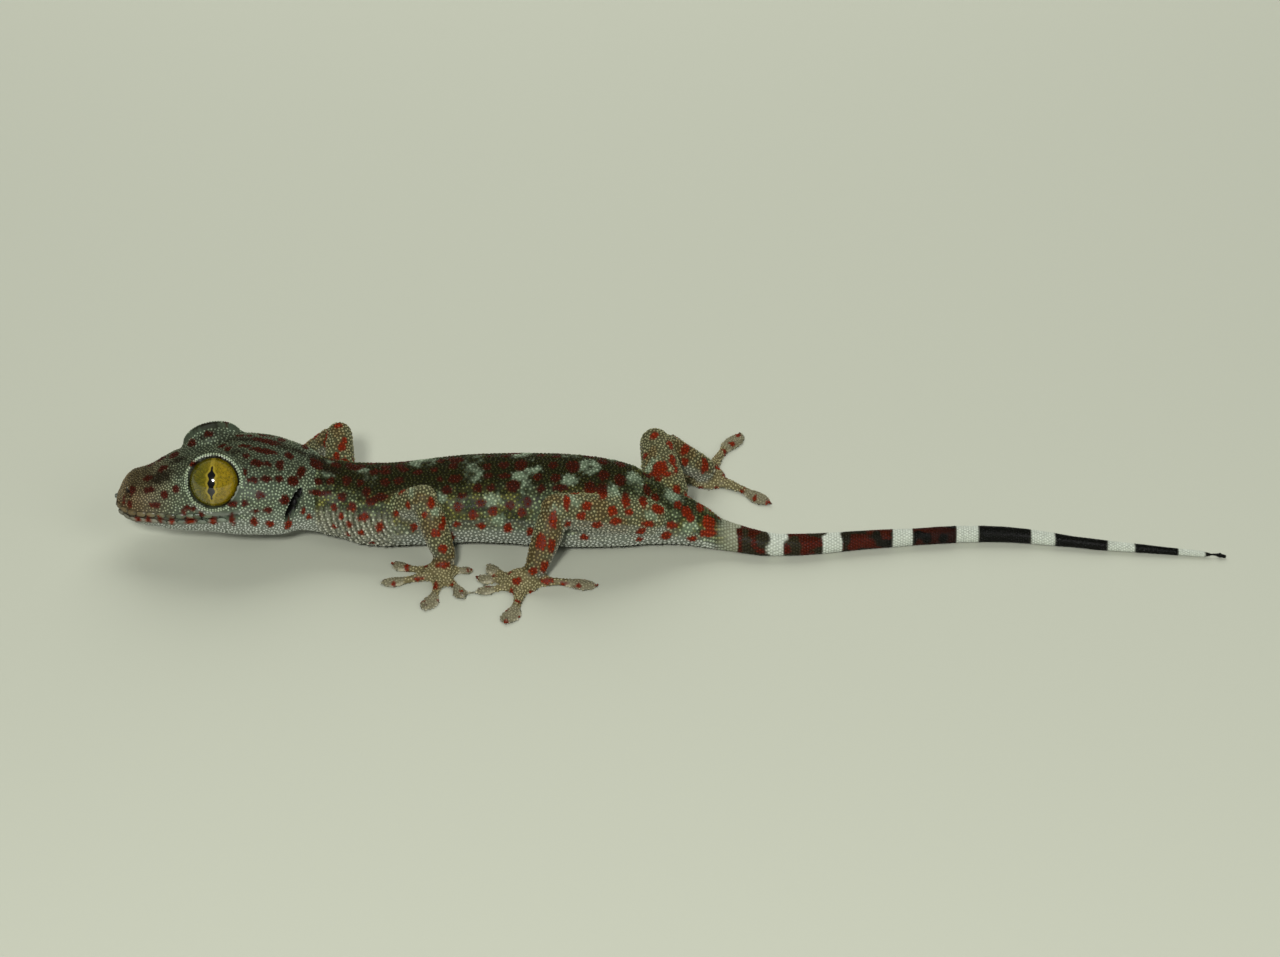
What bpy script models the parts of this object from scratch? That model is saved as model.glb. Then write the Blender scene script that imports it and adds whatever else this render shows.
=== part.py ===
"""Hatchling tokay gecko, life size, standing still on a flat floor.

The snout points to -X and the tail to +X, the left side faces -Y and the floor is z = 0.
All sizes below are millimetres: x is measured from the snout tip along the animal, side
from its length line (left is negative) and z from the floor. The finished pieces are
scaled to metres and moved so that the origin lies under the middle of the whole animal.
"""
import math
from collections import namedtuple

import bmesh
import bpy
from mathutils import Matrix, Vector

METRES_PER_MM = 0.001
MIDDLE = Vector((53.293, 0.777, 0.0))
GAP = 0.3

# Sections of the head, body and tail, each a centre with a half width and a half height
Station = namedtuple("Station", "name x side z wide tall")
BODY = [
    Station("snout", 0.2, -2.25, 5.05, 2.8, 2.05),
    Station("muzzle", 3.3, -1.9, 5.2, 3.55, 2.65),
    Station("cheeks", 5.4, -1.65, 5.6, 4.35, 3.45),
    Station("eyes", 9.2, -1.2, 5.85, 5.2, 3.95),
    Station("temples", 12.2, -0.9, 5.95, 5.9, 4.35),
    Station("jaw_hinges", 15.2, -0.6, 5.65, 6.05, 4.15),
    Station("ears", 17.7, -0.4, 5.3, 5.0, 3.65),
    Station("neck", 20.6, -0.45, 4.15, 4.05, 3.4),
    Station("shoulders", 25.5, -0.95, 3.68, 5.1, 3.4),
    Station("ribs", 34.5, -0.3, 4.0, 5.15, 3.75),
    Station("belly", 42.8, -1.05, 4.2, 5.35, 3.97),
    Station("hips", 48.4, -1.6, 4.1, 4.7, 3.75),
    Station("vent", 52.9, -2.1, 3.1, 3.1, 2.55),
    Station("tail_base", 56.1, -2.65, 2.3, 2.25, 2.0),
    Station("tail_root", 58.4, -3.15, 1.42, 1.5, 1.45),
    Station("tail_bend", 63.4, -4.4, 1.08, 1.16, 1.14),
    Station("tail_first_half", 74.0, -2.9, 0.86, 0.93, 0.92),
    Station("tail_middle", 84.0, -1.85, 0.77, 0.84, 0.82),
    Station("tail_last_half", 95.0, -3.6, 0.53, 0.58, 0.56),
    Station("tail_tip", 106.6, -5.2, 0.26, 0.3, 0.3),
]
SNOUT_ROUND = 2.2
TAIL_ROUND = 0.5
BACK_FULLNESS = 2.15
BELLY_FULLNESS = 2.5

# Where the body is parted, and the rings and sides that each length gets
BodyPiece = namedtuple("BodyPiece", "name start end rings sides")
HEAD_END = 19.5
NECK_END = 22.3
VENT = 55.2
BODY_PIECES = [
    BodyPiece("neck", HEAD_END, NECK_END, 4, 22),
    BodyPiece("torso", NECK_END, VENT, 19, 22),
    BodyPiece("tail_1", VENT, 63.6, 7, 14),
    BodyPiece("tail_2", 63.6, 77.0, 8, 12),
    BodyPiece("tail_3", 77.0, 92.0, 8, 12),
    BodyPiece("tail_4", 92.0, 106.6, 8, 10),
]

# Mouth: the line from the snout to its corner, then down behind the lower jaw
MOUTH_LINE = [(-2.0, 4.5), (2.0, 4.62), (6.0, 4.78), (9.0, 5.0), (11.0, 5.4), (12.6, 5.75)]
JAW_BACK = [(13.6, 5.3), (14.4, 4.2), (14.9, 2.6), (15.2, 0.5)]
LIP_RADIUS = 0.3
LIP_RISE = 0.42
LIP_SINK = 0.1

# Eyes and the lids round them
EYE_X = 9.6
EYE_SIDE = 3.2
EYE_Z = 8.05
EYE_RADIUS = 2.5
EYE_FLAT = 0.9
GAZE_UP = math.radians(25)
GAZE_FORWARD = math.radians(9)
LID_RADIUS = 2.64
LID_THICKNESS = 0.42
LID_RISE = 0.92
BROW_RADIUS = 2.92
BROW_FRONT = 0.82

NOSTRIL_X = 1.5
NOSTRIL_Z = 6.45
NOSTRIL_SIZE = (0.42, 0.35, 0.3)
EAR_X = 17.2
EAR_Z = 6.1
EAR_SIZE = (0.45, 1.0, 1.5)
EAR_LEAN = math.radians(28)

# Limbs: joint places and radii of the upper piece, the lower piece and their ends
Limb = namedtuple("Limb", "name upper lower root bend end root_r mid_r bend_r shin_r end_r")
LIMBS = [
    Limb("left_front", "upper_arm", "forearm", (26.3, -3.4, 4.2), (29.8, -5.8, 7.0),
         (31.8, -7.9, 1.95), 1.8, 1.6, 1.45, 1.45, 1.15),
    Limb("right_front", "upper_arm", "forearm", (21.4, 1.4, 4.0), (21.0, 6.8, 6.8),
         (16.8, 10.0, 2.0), 1.8, 1.6, 1.4, 1.4, 1.15),
    Limb("left_hind", "thigh", "shin", (51.2, -4.0, 3.9), (42.5, -7.2, 6.6),
         (40.6, -9.8, 2.05), 2.2, 2.1, 1.65, 1.5, 1.2),
    Limb("right_hind", "thigh", "shin", (53.0, 0.6, 3.9), (51.9, 7.1, 5.7),
         (56.6, 8.5, 2.1), 2.2, 2.0, 1.65, 1.55, 1.3),
]
BEND_STEP = 0.05

# Feet: palm centre and size, then each toe's heading from +X and its reach from the centre
Foot = namedtuple("Foot", "limb name centre palm toes")
FEET = [
    Foot("left_front", "hand", (31.3, -8.5), 1.6,
         [(157, 4.9), (196, 5.6), (260, 6.3), (300, 4.8), (14, 3.1)]),
    Foot("right_front", "hand", (16.0, 10.6), 1.6,
         [(215, 4.6), (172, 5.4), (132, 5.6), (92, 5.0), (42, 4.6)]),
    Foot("left_hind", "foot", (39.1, -10.2), 1.9,
         [(135, 4.6), (165, 4.3), (199, 4.4), (260, 7.0), (357, 7.1)]),
    Foot("right_hind", "foot", (57.1, 9.6), 1.9,
         [(185, 4.8), (152, 6.4), (112, 9.3), (69, 9.7), (322, 7.5)]),
]
PALM_TOP = 1.7
# Along a toe: share of its reach, half width and height of the top
TOE_SHAPE = [(0.0, 0.8, 1.2), (0.3, 0.6, 1.0), (0.5, 0.42, 0.8), (0.62, 0.5, 0.72),
             (0.74, 0.88, 0.66), (0.86, 0.95, 0.62), (0.95, 0.72, 0.58), (1.0, 0.3, 0.5)]
TOE_BOW = 0.05
TOE_SIDES = 8
CLAW_LENGTH = 0.65
CLAW_RADIUS = 0.22
CLAW_TIP_RADIUS = 0.05
CLAW_ROOT = 0.3
CLAW_HEIGHT = 0.42
CLAW_DROP = 0.3
SHARP_ANGLE = math.radians(40)


def slopes(places, values):
    """Slopes at the stations that let a cubic pass through them without overshoot."""
    secants = [(values[i + 1] - values[i]) / (places[i + 1] - places[i])
               for i in range(len(places) - 1)]
    inner = [0.0 if before * after <= 0 else 2 * before * after / (before + after)
             for before, after in zip(secants, secants[1:])]
    return [secants[0]] + inner + [secants[-1]]


def smooth_value(places, values, x):
    """Value at x of the smooth line through the given values."""
    index = 0
    while index < len(places) - 2 and x > places[index + 1]:
        index += 1
    bends = slopes(places, values)
    span = places[index + 1] - places[index]
    t = min(max((x - places[index]) / span, 0.0), 1.0)
    return ((1 + 2 * t) * (1 - t) ** 2 * values[index] + t * (1 - t) ** 2 * span * bends[index]
            + t * t * (3 - 2 * t) * values[index + 1] - t * t * (1 - t) * span * bends[index + 1])


def body_at(x, quantity):
    """One quantity of the body's sections at x: side, z, wide or tall."""
    places = [station.x for station in BODY]
    value = smooth_value(places, [getattr(station, quantity) for station in BODY], x)
    if quantity in ("wide", "tall"):
        from_snout = min(max(x - BODY[0].x, 0.0) / SNOUT_ROUND, 1.0)
        from_tip = min(max(BODY[-1].x - x, 0.0) / TAIL_ROUND, 1.0)
        value *= math.sqrt(1 - (1 - from_snout) ** 2) * math.sqrt(1 - (1 - from_tip) ** 2)
    return value


def across(x):
    """Level direction across the body at x, toward its right side."""
    step = 0.5
    turn = (body_at(x + step, "side") - body_at(x - step, "side")) / (2 * step)
    return Vector((-turn, 1.0, 0.0)).normalized()


def body_point(x, offset, z):
    """Point at a height z and an offset to the right of the body's middle plane."""
    return Vector((x, body_at(x, "side"), 0.0)) + across(x) * offset + Vector((0.0, 0.0, z))


def half_width_at(x, z):
    """Half width of the body's surface at x and at the height z."""
    rise = z - body_at(x, "z")
    fullness = BACK_FULLNESS if rise > 0 else BELLY_FULLNESS
    share = min(abs(rise) / body_at(x, "tall"), 1.0)
    return body_at(x, "wide") * (1 - share ** fullness) ** (1 / fullness)


def section(x, sides, grow):
    """Ring of the body at x, flat where it would go below the floor."""
    ring = []
    for index in range(sides):
        angle = 2 * math.pi * (index + 0.5) / sides
        level, rise = math.cos(angle), math.sin(angle)
        fullness = BACK_FULLNESS if rise > 0 else BELLY_FULLNESS
        offset = (body_at(x, "wide") + grow) * math.copysign(abs(level) ** (2 / fullness), level)
        height = (body_at(x, "tall") + grow) * math.copysign(abs(rise) ** (2 / fullness), rise)
        ring.append(body_point(x, offset, max(body_at(x, "z") + height, -grow)))
    return ring


def new_object(name, mesh_data):
    """Object made from a bmesh and linked to the scene."""
    bmesh.ops.recalc_face_normals(mesh_data, faces=mesh_data.faces)
    if mesh_data.calc_volume(signed=True) < 0:
        bmesh.ops.reverse_faces(mesh_data, faces=mesh_data.faces)
    mesh = bpy.data.meshes.new(name)
    mesh_data.to_mesh(mesh)
    mesh_data.free()
    made = bpy.data.objects.new(name, mesh)
    bpy.context.scene.collection.objects.link(made)
    return made


def loft(name, rings):
    """Closed solid through a row of rings with the same number of points."""
    mesh_data = bmesh.new()
    loops = [[mesh_data.verts.new(point) for point in ring] for ring in rings]
    for near, far in zip(loops, loops[1:]):
        for index in range(len(near)):
            after = (index + 1) % len(near)
            mesh_data.faces.new((near[index], near[after], far[after], far[index]))
    mesh_data.faces.new(loops[0])
    mesh_data.faces.new(loops[-1])
    bmesh.ops.triangulate(mesh_data, faces=mesh_data.faces)
    return new_object(name, mesh_data)


def body_loft(name, start, end, rings, sides, grow=0.0):
    """Length of the body between two places, with flat ends."""
    places = [start + (end - start) * index / (rings - 1) for index in range(rings)]
    return loft(name, [section(x, sides, grow) for x in places])


def body_room():
    """Cutter that keeps the limbs clear of the body by the gap."""
    return body_loft("body_room", HEAD_END - 2.0, 62.0, 30, 22, GAP)


def ball(name, radii, centre, sides, rings, turn=Matrix.Identity(3), front=math.inf):
    """Ellipsoid about a centre, turned, and flat past a distance in front of it."""
    mesh_data = bmesh.new()
    bmesh.ops.create_uvsphere(mesh_data, u_segments=sides, v_segments=rings, radius=1.0)
    for vertex in mesh_data.verts:
        local = Vector([size * value for size, value in zip(radii, vertex.co)])
        local.z = min(local.z, front)
        vertex.co = turn @ local + Vector(centre)
    return new_object(name, mesh_data)


def apply_boolean(target, others, operation):
    """Join or cut a solid with others, which are used up, and keep its largest piece."""
    tools = bpy.data.collections.new("tools")
    bpy.context.scene.collection.children.link(tools)
    for other in others:
        for group in other.users_collection:
            group.objects.unlink(other)
        tools.objects.link(other)
    boolean = target.modifiers.new(operation.lower(), "BOOLEAN")
    boolean.operation = operation
    boolean.operand_type = "COLLECTION"
    boolean.collection = tools
    evaluated = target.evaluated_get(bpy.context.evaluated_depsgraph_get())
    result = bpy.data.meshes.new_from_object(evaluated)
    target.modifiers.clear()
    target.data = result
    for other in others:
        bpy.data.objects.remove(other)
    bpy.data.collections.remove(tools)
    return target


def closed_pieces(target):
    """Lists of face numbers, one for each closed surface, the largest volume first."""
    mesh_data = bmesh.new()
    mesh_data.from_mesh(target.data)
    mesh_data.faces.ensure_lookup_table()
    unseen = set(range(len(mesh_data.faces)))
    pieces = []
    while unseen:
        stack = [unseen.pop()]
        piece = []
        while stack:
            number = stack.pop()
            piece.append(number)
            for edge in mesh_data.faces[number].edges:
                for face in edge.link_faces:
                    if face.index in unseen:
                        unseen.remove(face.index)
                        stack.append(face.index)
        volume = sum(mesh_data.faces[i].calc_center_median().dot(mesh_data.faces[i].normal)
                     * mesh_data.faces[i].calc_area() for i in piece)
        pieces.append((volume, piece))
    mesh_data.free()
    return [piece for volume, piece in sorted(pieces, reverse=True)]


def keep_piece(target, wanted):
    """Remove every face of a solid but the wanted ones."""
    mesh_data = bmesh.new()
    mesh_data.from_mesh(target.data)
    mesh_data.faces.ensure_lookup_table()
    wanted = set(wanted)
    rest = [face for face in mesh_data.faces if face.index not in wanted]
    bmesh.ops.delete(mesh_data, geom=rest, context="FACES")
    mesh_data.to_mesh(target.data)
    mesh_data.free()


def join(target, others):
    """Fuse solids into one closed surface."""
    apply_boolean(target, others, "UNION")
    keep_piece(target, closed_pieces(target)[0])
    return target


def cut(target, others):
    """Cut a solid with others and keep its largest piece."""
    apply_boolean(target, others, "DIFFERENCE")
    keep_piece(target, closed_pieces(target)[0])
    return target


def copy_of(source, name):
    """Second object with its own copy of a mesh."""
    made = bpy.data.objects.new(name, source.data.copy())
    bpy.context.scene.collection.objects.link(made)
    return made


def floor_block():
    """Block under the floor that trims a sole flat."""
    mesh_data = bmesh.new()
    bmesh.ops.create_cube(mesh_data, size=1.0)
    bmesh.ops.scale(mesh_data, verts=mesh_data.verts, vec=(200.0, 200.0, 10.0))
    bmesh.ops.translate(mesh_data, verts=mesh_data.verts, vec=(50.0, 0.0, -5.0))
    return new_object("floor_block", mesh_data)


def mouth_cutter():
    """Bent sheet, as thick as the gap, along the mouth line and down behind the jaw."""
    path = MOUTH_LINE + JAW_BACK
    half_span = 12.0
    mesh_data = bmesh.new()
    rows = [[mesh_data.verts.new((x, side * half_span + body_at(x, "side"), z)) for side in (-1, 1)]
            for x, z in path]
    for near, far in zip(rows, rows[1:]):
        mesh_data.faces.new((near[0], near[1], far[1], far[0]))
    sheet = new_object("mouth_cutter", mesh_data)
    solidify = sheet.modifiers.new("thickness", "SOLIDIFY")
    solidify.thickness = GAP
    solidify.offset = 0.0
    solidify.use_even_offset = True
    evaluated = sheet.evaluated_get(bpy.context.evaluated_depsgraph_get())
    sheet.data = bpy.data.meshes.new_from_object(evaluated)
    sheet.modifiers.clear()
    return sheet


def mouth_height(x):
    """Height of the mouth line at x."""
    return smooth_value([point[0] for point in MOUTH_LINE], [point[1] for point in MOUTH_LINE], x)


def snout_front(z):
    """Most forward x of the body's surface at the height z."""
    share = min(abs(z - BODY[0].z) / BODY[0].tall, 1.0)
    return BODY[0].x + SNOUT_ROUND * (1 - math.sqrt(1 - share * share))


def lip(name, rise):
    """Rounded lip along the mouth, from one corner round the snout to the other."""
    front = snout_front(mouth_height(0.0) + rise)
    length = MOUTH_LINE[-1][0] - 0.3 - front
    steps = 10
    half = []
    for index in range(steps, 0, -1):
        x = front + length * (1 - math.cos(math.pi / 2 * index / steps))
        z = mouth_height(x) + rise
        sink = LIP_SINK + 1.2 * LIP_RADIUS * (index / steps) ** 6
        half.append((x, half_width_at(x, z) - sink, z))
    path = [body_point(x, -offset, z) for x, offset, z in half]
    path.append(body_point(front + LIP_SINK, 0.0, mouth_height(front) + rise))
    path += [body_point(x, offset, z) for x, offset, z in reversed(half)]
    curve = bpy.data.curves.new(name, "CURVE")
    curve.dimensions = "3D"
    curve.bevel_depth = LIP_RADIUS
    curve.bevel_resolution = 1
    curve.use_fill_caps = True
    spline = curve.splines.new("POLY")
    spline.points.add(len(path) - 1)
    for point, place in zip(spline.points, path):
        point.co = (*place, 1.0)
    wire = bpy.data.objects.new(name, curve)
    bpy.context.scene.collection.objects.link(wire)
    evaluated = wire.evaluated_get(bpy.context.evaluated_depsgraph_get())
    mesh = bpy.data.meshes.new_from_object(evaluated)
    bpy.data.objects.remove(wire)
    mesh_data = bmesh.new()
    mesh_data.from_mesh(mesh)
    bmesh.ops.remove_doubles(mesh_data, verts=mesh_data.verts, dist=0.001)
    return new_object(name, mesh_data)


def gaze(side):
    """Turn that points a local +Z out of the eye on one side (-1 left, 1 right)."""
    outward = across(EYE_X) * side
    forward = Vector((-1.0, 0.0, 0.0))
    aim = outward * math.cos(GAZE_FORWARD) + forward * math.sin(GAZE_FORWARD)
    aim = aim.normalized() * math.cos(GAZE_UP) + Vector((0.0, 0.0, math.sin(GAZE_UP)))
    return aim.to_track_quat("Z", "Y").to_matrix()


def lid(side):
    """Raised rim round one eye."""
    turn = gaze(side)
    centre = body_point(EYE_X, side * EYE_SIDE, EYE_Z) + turn @ Vector((0.0, 0.0, LID_RISE))
    bpy.ops.mesh.primitive_torus_add(
        location=centre, rotation=turn.to_euler(), major_segments=26, minor_segments=8,
        major_radius=LID_RADIUS, minor_radius=LID_THICKNESS)
    rim = bpy.context.active_object
    rim.data.transform(rim.matrix_world)
    rim.matrix_world = Matrix.Identity(4)
    return rim


def eye_ball(name, side, grow):
    """Front of one eyeball, flat behind its lid so that the brow over it stays thick."""
    size = EYE_RADIUS + grow
    widest = math.acos((EYE_FLAT - grow) / size)
    centre = body_point(EYE_X, side * EYE_SIDE, EYE_Z)
    turn = gaze(side)
    sides = 24
    steps = 8
    rings = []
    for index in range(steps):
        lean = widest * (index + 0.2) / (steps - 0.8)
        rings.append([centre + turn @ Vector((size * math.sin(lean) * math.cos(2 * math.pi * i / sides),
                                              size * math.sin(lean) * math.sin(2 * math.pi * i / sides),
                                              size * math.cos(lean)))
                      for i in range(sides)])
    return loft(name, rings)


def build_head():
    """Head and lower jaw, parted along the mouth line."""
    front = [BODY[0].x + SNOUT_ROUND * (1 - math.cos(math.pi / 2 * (0.12 + 0.88 * index / 5)))
             for index in range(5)]
    rest = [BODY[0].x + SNOUT_ROUND + (HEAD_END - GAP / 2 - BODY[0].x - SNOUT_ROUND) * index / 15
            for index in range(16)]
    head = loft("head", [section(x, 30, 0.0) for x in front + rest])
    forms = [lip("upper_lip", LIP_RISE), lip("lower_lip", -LIP_RISE)]
    holes = [mouth_cutter()]
    for side in (-1, 1):
        forms.append(ball("brow", (BROW_RADIUS, BROW_RADIUS, BROW_RADIUS),
                          body_point(EYE_X, side * EYE_SIDE, EYE_Z), 18, 12, gaze(side),
                          front=BROW_FRONT))
        forms.append(lid(side))
        holes.append(eye_ball("socket", side, GAP))
        nostril = body_point(NOSTRIL_X, side * half_width_at(NOSTRIL_X, NOSTRIL_Z), NOSTRIL_Z)
        holes.append(ball("nostril", NOSTRIL_SIZE, nostril, 8, 6))
        ear = body_point(EAR_X, side * half_width_at(EAR_X, EAR_Z), EAR_Z)
        lean = Matrix.Rotation(EAR_LEAN, 3, "Y")
        holes.append(ball("ear", EAR_SIZE, ear, 12, 8, lean))
    join(head, forms)
    apply_boolean(head, holes, "DIFFERENCE")
    pieces = closed_pieces(head)
    jaw = copy_of(head, "lower_jaw")
    keep_piece(head, pieces[0])
    keep_piece(jaw, pieces[1])
    return [head, jaw]


def limb_piece(name, start, end, start_r, mid_r, end_r, grow=0.0):
    """Round-ended limb bone with its muscle, between two joints."""
    start, end = Vector(start), Vector(end)
    length = (end - start).length
    turn = (end - start).to_track_quat("Z", "Y").to_matrix()
    places = []
    for angle in (80, 50, 25):
        lean = math.radians(angle)
        places.append((-math.sin(lean) * (start_r + grow), math.cos(lean) * (start_r + grow)))
    for index in range(6):
        t = index / 5
        radius = (start_r * (1 - t) * (1 - 2 * t) + 4 * mid_r * t * (1 - t)
                  + end_r * t * (2 * t - 1))
        places.append((length * t, radius + grow))
    for angle in (25, 50, 80):
        lean = math.radians(angle)
        places.append((length + math.sin(lean) * (end_r + grow), math.cos(lean) * (end_r + grow)))
    sides = 12
    rings = []
    for along, radius in places:
        rings.append([start + turn @ Vector((radius * math.cos(2 * math.pi * i / sides),
                                             radius * math.sin(2 * math.pi * i / sides), along))
                      for i in range(sides)])
    return loft(name, rings)


def toe(name, centre, heading, reach):
    """One toe with its wide pad, bowed a little, sunk below the floor to be trimmed flat."""
    ahead = Vector((math.cos(heading), math.sin(heading), 0.0))
    beside = Vector((-ahead.y, ahead.x, 0.0))
    bow = TOE_BOW * reach
    breadth = min(0.4 + 0.1 * reach, 1.1)
    rings = []
    for share, wide, top in TOE_SHAPE:
        middle = Vector(centre) + ahead * share * reach + beside * bow * math.sin(math.pi * share)
        rings.append([middle + beside * wide * breadth * math.cos(2 * math.pi * (i + 0.5) / TOE_SIDES)
                      + Vector((0.0, 0.0, top * math.sin(2 * math.pi * (i + 0.5) / TOE_SIDES)))
                      for i in range(TOE_SIDES)])
    return loft(name, rings)


def claw(name, centre, heading, reach):
    """Small claw that leaves the end of a toe and points down to the floor."""
    ahead = Vector((math.cos(heading), math.sin(heading), 0.0))
    root = Vector(centre) + ahead * (reach - CLAW_ROOT) + Vector((0.0, 0.0, CLAW_HEIGHT))
    aim = (ahead - Vector((0.0, 0.0, CLAW_DROP))).normalized()
    mesh_data = bmesh.new()
    bmesh.ops.create_cone(mesh_data, cap_ends=True, segments=6, radius1=CLAW_RADIUS,
                          radius2=CLAW_TIP_RADIUS, depth=CLAW_LENGTH)
    turn = aim.to_track_quat("Z", "Y").to_matrix().to_4x4()
    place = Matrix.Translation(root + aim * CLAW_LENGTH / 2) @ turn
    bmesh.ops.transform(mesh_data, matrix=place, verts=mesh_data.verts)
    return new_object(name, mesh_data)


def build_foot(foot, shin):
    """Palm, five toes and their claws as one solid, hollowed where the leg comes down."""
    centre = (foot.centre[0], foot.centre[1], 0.0)
    palm = ball(f"{foot.limb}_{foot.name}", (foot.palm, foot.palm, PALM_TOP), centre, 14, 10)
    toes = []
    for number, (heading, reach) in enumerate(foot.toes, start=1):
        toes.append(toe(f"toe_{number}", centre, math.radians(heading), reach))
        toes.append(claw(f"claw_{number}", centre, math.radians(heading), reach))
    join(palm, toes)
    return cut(palm, [floor_block(), shin])


def build_limb(limb, foot):
    """Upper piece, lower piece and foot of one limb, each parted from the next by the gap."""
    upper_name = f"{limb.name}_{limb.upper}"
    lower_name = f"{limb.name}_{limb.lower}"
    upper_size = (limb.root, limb.bend, limb.root_r, limb.mid_r, limb.bend_r)
    lower_size = (limb.bend, limb.end, limb.bend_r - BEND_STEP, limb.shin_r, limb.end_r)
    upper = limb_piece(upper_name, *upper_size)
    cut(upper, [body_room()])
    lower = limb_piece(lower_name, *lower_size)
    cut(lower, [limb_piece("bend_room", *upper_size, grow=GAP)])
    cut(lower, [body_room()])
    sole = build_foot(foot, limb_piece("shin_room", *lower_size, grow=GAP))
    return [upper, lower, sole]


def make_material(name, colour, roughness):
    """Principled material with a plain colour."""
    material = bpy.data.materials.new(name)
    material.use_nodes = True
    shader = material.node_tree.nodes["Principled BSDF"]
    shader.inputs["Base Color"].default_value = (*colour, 1.0)
    shader.inputs["Roughness"].default_value = roughness
    shader.inputs["Metallic"].default_value = 0.0
    return material


def finish(solid, parent, home, material):
    """Scale a solid to metres about the model's origin, name it and give it its material."""
    to_metres = Matrix.Scale(METRES_PER_MM, 4) @ Matrix.Translation(-MIDDLE)
    solid.data.transform(to_metres)
    solid.data.name = solid.name
    solid.data.materials.clear()
    solid.data.materials.append(material)
    solid.data.shade_smooth()
    solid.data.set_sharp_from_angle(angle=SHARP_ANGLE)
    bpy.context.scene.collection.objects.unlink(solid)
    home.objects.link(solid)
    solid.parent = parent


def build_gecko():
    """All the pieces of the animal."""
    for old in list(bpy.data.objects):
        bpy.data.objects.remove(old)
    home = bpy.data.collections.new("tokay_gecko")
    bpy.context.scene.collection.children.link(home)
    parent = bpy.data.objects.new("tokay_gecko_origin", None)
    home.objects.link(parent)

    back_skin = make_material("back_skin", (0.12, 0.15, 0.10), 0.5)
    limb_skin = make_material("limb_skin", (0.25, 0.20, 0.08), 0.5)
    tail_skin = make_material("tail_skin", (0.05, 0.05, 0.05), 0.5)
    eye_coat = make_material("eye_coat", (0.20, 0.18, 0.03), 0.05)

    for solid in build_head():
        finish(solid, parent, home, back_skin)
    for side, name in ((-1, "left_eye"), (1, "right_eye")):
        finish(eye_ball(name, side, 0.0), parent, home, eye_coat)
    for piece in BODY_PIECES:
        end = piece.end if piece.name == "tail_4" else piece.end - GAP / 2
        solid = body_loft(piece.name, piece.start + GAP / 2, end, piece.rings, piece.sides)
        finish(solid, parent, home, tail_skin if piece.name.startswith("tail") else back_skin)
    for limb, foot in zip(LIMBS, FEET):
        for solid in build_limb(limb, foot):
            finish(solid, parent, home, limb_skin)


build_gecko()
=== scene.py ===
import math

import bpy
import numpy as np
from mathutils import Matrix, Vector
from mathutils.bvhtree import BVHTree
from mathutils.kdtree import KDTree


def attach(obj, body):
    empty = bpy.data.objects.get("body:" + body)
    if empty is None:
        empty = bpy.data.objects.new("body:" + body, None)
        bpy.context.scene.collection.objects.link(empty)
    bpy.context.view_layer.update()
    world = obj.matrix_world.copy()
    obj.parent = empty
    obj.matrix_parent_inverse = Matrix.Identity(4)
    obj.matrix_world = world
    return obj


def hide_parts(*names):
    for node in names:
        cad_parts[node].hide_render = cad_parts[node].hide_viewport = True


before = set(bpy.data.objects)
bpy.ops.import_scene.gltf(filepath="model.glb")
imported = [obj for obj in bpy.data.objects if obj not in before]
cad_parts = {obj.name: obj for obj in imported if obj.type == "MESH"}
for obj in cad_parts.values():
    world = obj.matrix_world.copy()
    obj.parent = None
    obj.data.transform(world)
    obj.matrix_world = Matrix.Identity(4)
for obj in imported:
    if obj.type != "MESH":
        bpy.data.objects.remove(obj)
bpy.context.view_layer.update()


# The view
# A flash close-up, taken from 30 degrees above the ground and level with the middle of the
# body. Marks that are read in this picture are carried along its sight lines onto the hide.

PICTURE = (1280, 957)
FIELD = math.radians(17.7)
RISE = math.radians(30)
DISTANCE = 0.40
LOOK_AT = Vector((-0.0029, 0.00243, 0.004))
NEAREST = 0.01
FARTHEST = 10.0
TO_CAMERA = Vector((0, -math.cos(RISE), math.sin(RISE)))
RIGHTWARD = Vector((1, 0, 0))
UPWARD = Vector((0, math.sin(RISE), math.cos(RISE)))

view = bpy.data.cameras.new("view")
view.sensor_fit = "HORIZONTAL"
view.angle = FIELD
view.clip_start = NEAREST
view.clip_end = FARTHEST
camera = bpy.data.objects.new("view", view)
camera.location = LOOK_AT + TO_CAMERA * DISTANCE
camera.rotation_euler = (math.pi / 2 - RISE, 0, 0)
bpy.context.collection.objects.link(camera)
bpy.context.scene.camera = camera
bpy.context.scene.view_settings.view_transform = "Standard"


def sight_line(across, down):
    """Way the camera looks through one place of the picture, given in its pixels."""
    reach = math.tan(FIELD / 2) / (PICTURE[0] / 2)
    sideways = (across - PICTURE[0] / 2) * reach
    upward = (PICTURE[1] / 2 - down) * reach
    return (RIGHTWARD * sideways + UPWARD * upward - TO_CAMERA).normalized()


# The skin
# One soft hide without seams from lips to tail tip, a little inside the true outline so
# that the scales on it reach the surface. It is worked in millimetres and then reduced.

MM = 0.001
PIXEL = 1 / 10.4
MIDDLE = (53.293, 0.777)
CLOSE_GAPS = 0.24
GRAIN = 0.205
SCALE_DEPTH = {"foot": 0.06, "hand": 0.06, "tail": 0.09, "head": 0.11, "jaw": 0.11}
BODY_DEPTH = 0.12
DEPTH_ROUNDS = 8
PULL_STEPS = 6
WELD = 0.001
SOFTEN, GIVE_BACK = 0.5, -0.52
LIMB_ROUNDS, LIMB_SPREAD = 30, 0.9
HALF_LENGTH = 53.0
SLICE = 0.75
SLICE_HALF = 0.6
SLICES_AVERAGED = 5

parts = [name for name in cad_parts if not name.endswith("_eye")]


def only(thing):
    """Selects one object alone."""
    bpy.ops.object.select_all(action="DESELECT")
    thing.select_set(True)
    bpy.context.view_layer.objects.active = thing


def finish_modifiers(thing):
    """Applies every modifier of an object."""
    only(thing)
    for modifier in list(thing.modifiers):
        bpy.ops.object.modifier_apply(modifier=modifier.name)


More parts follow.
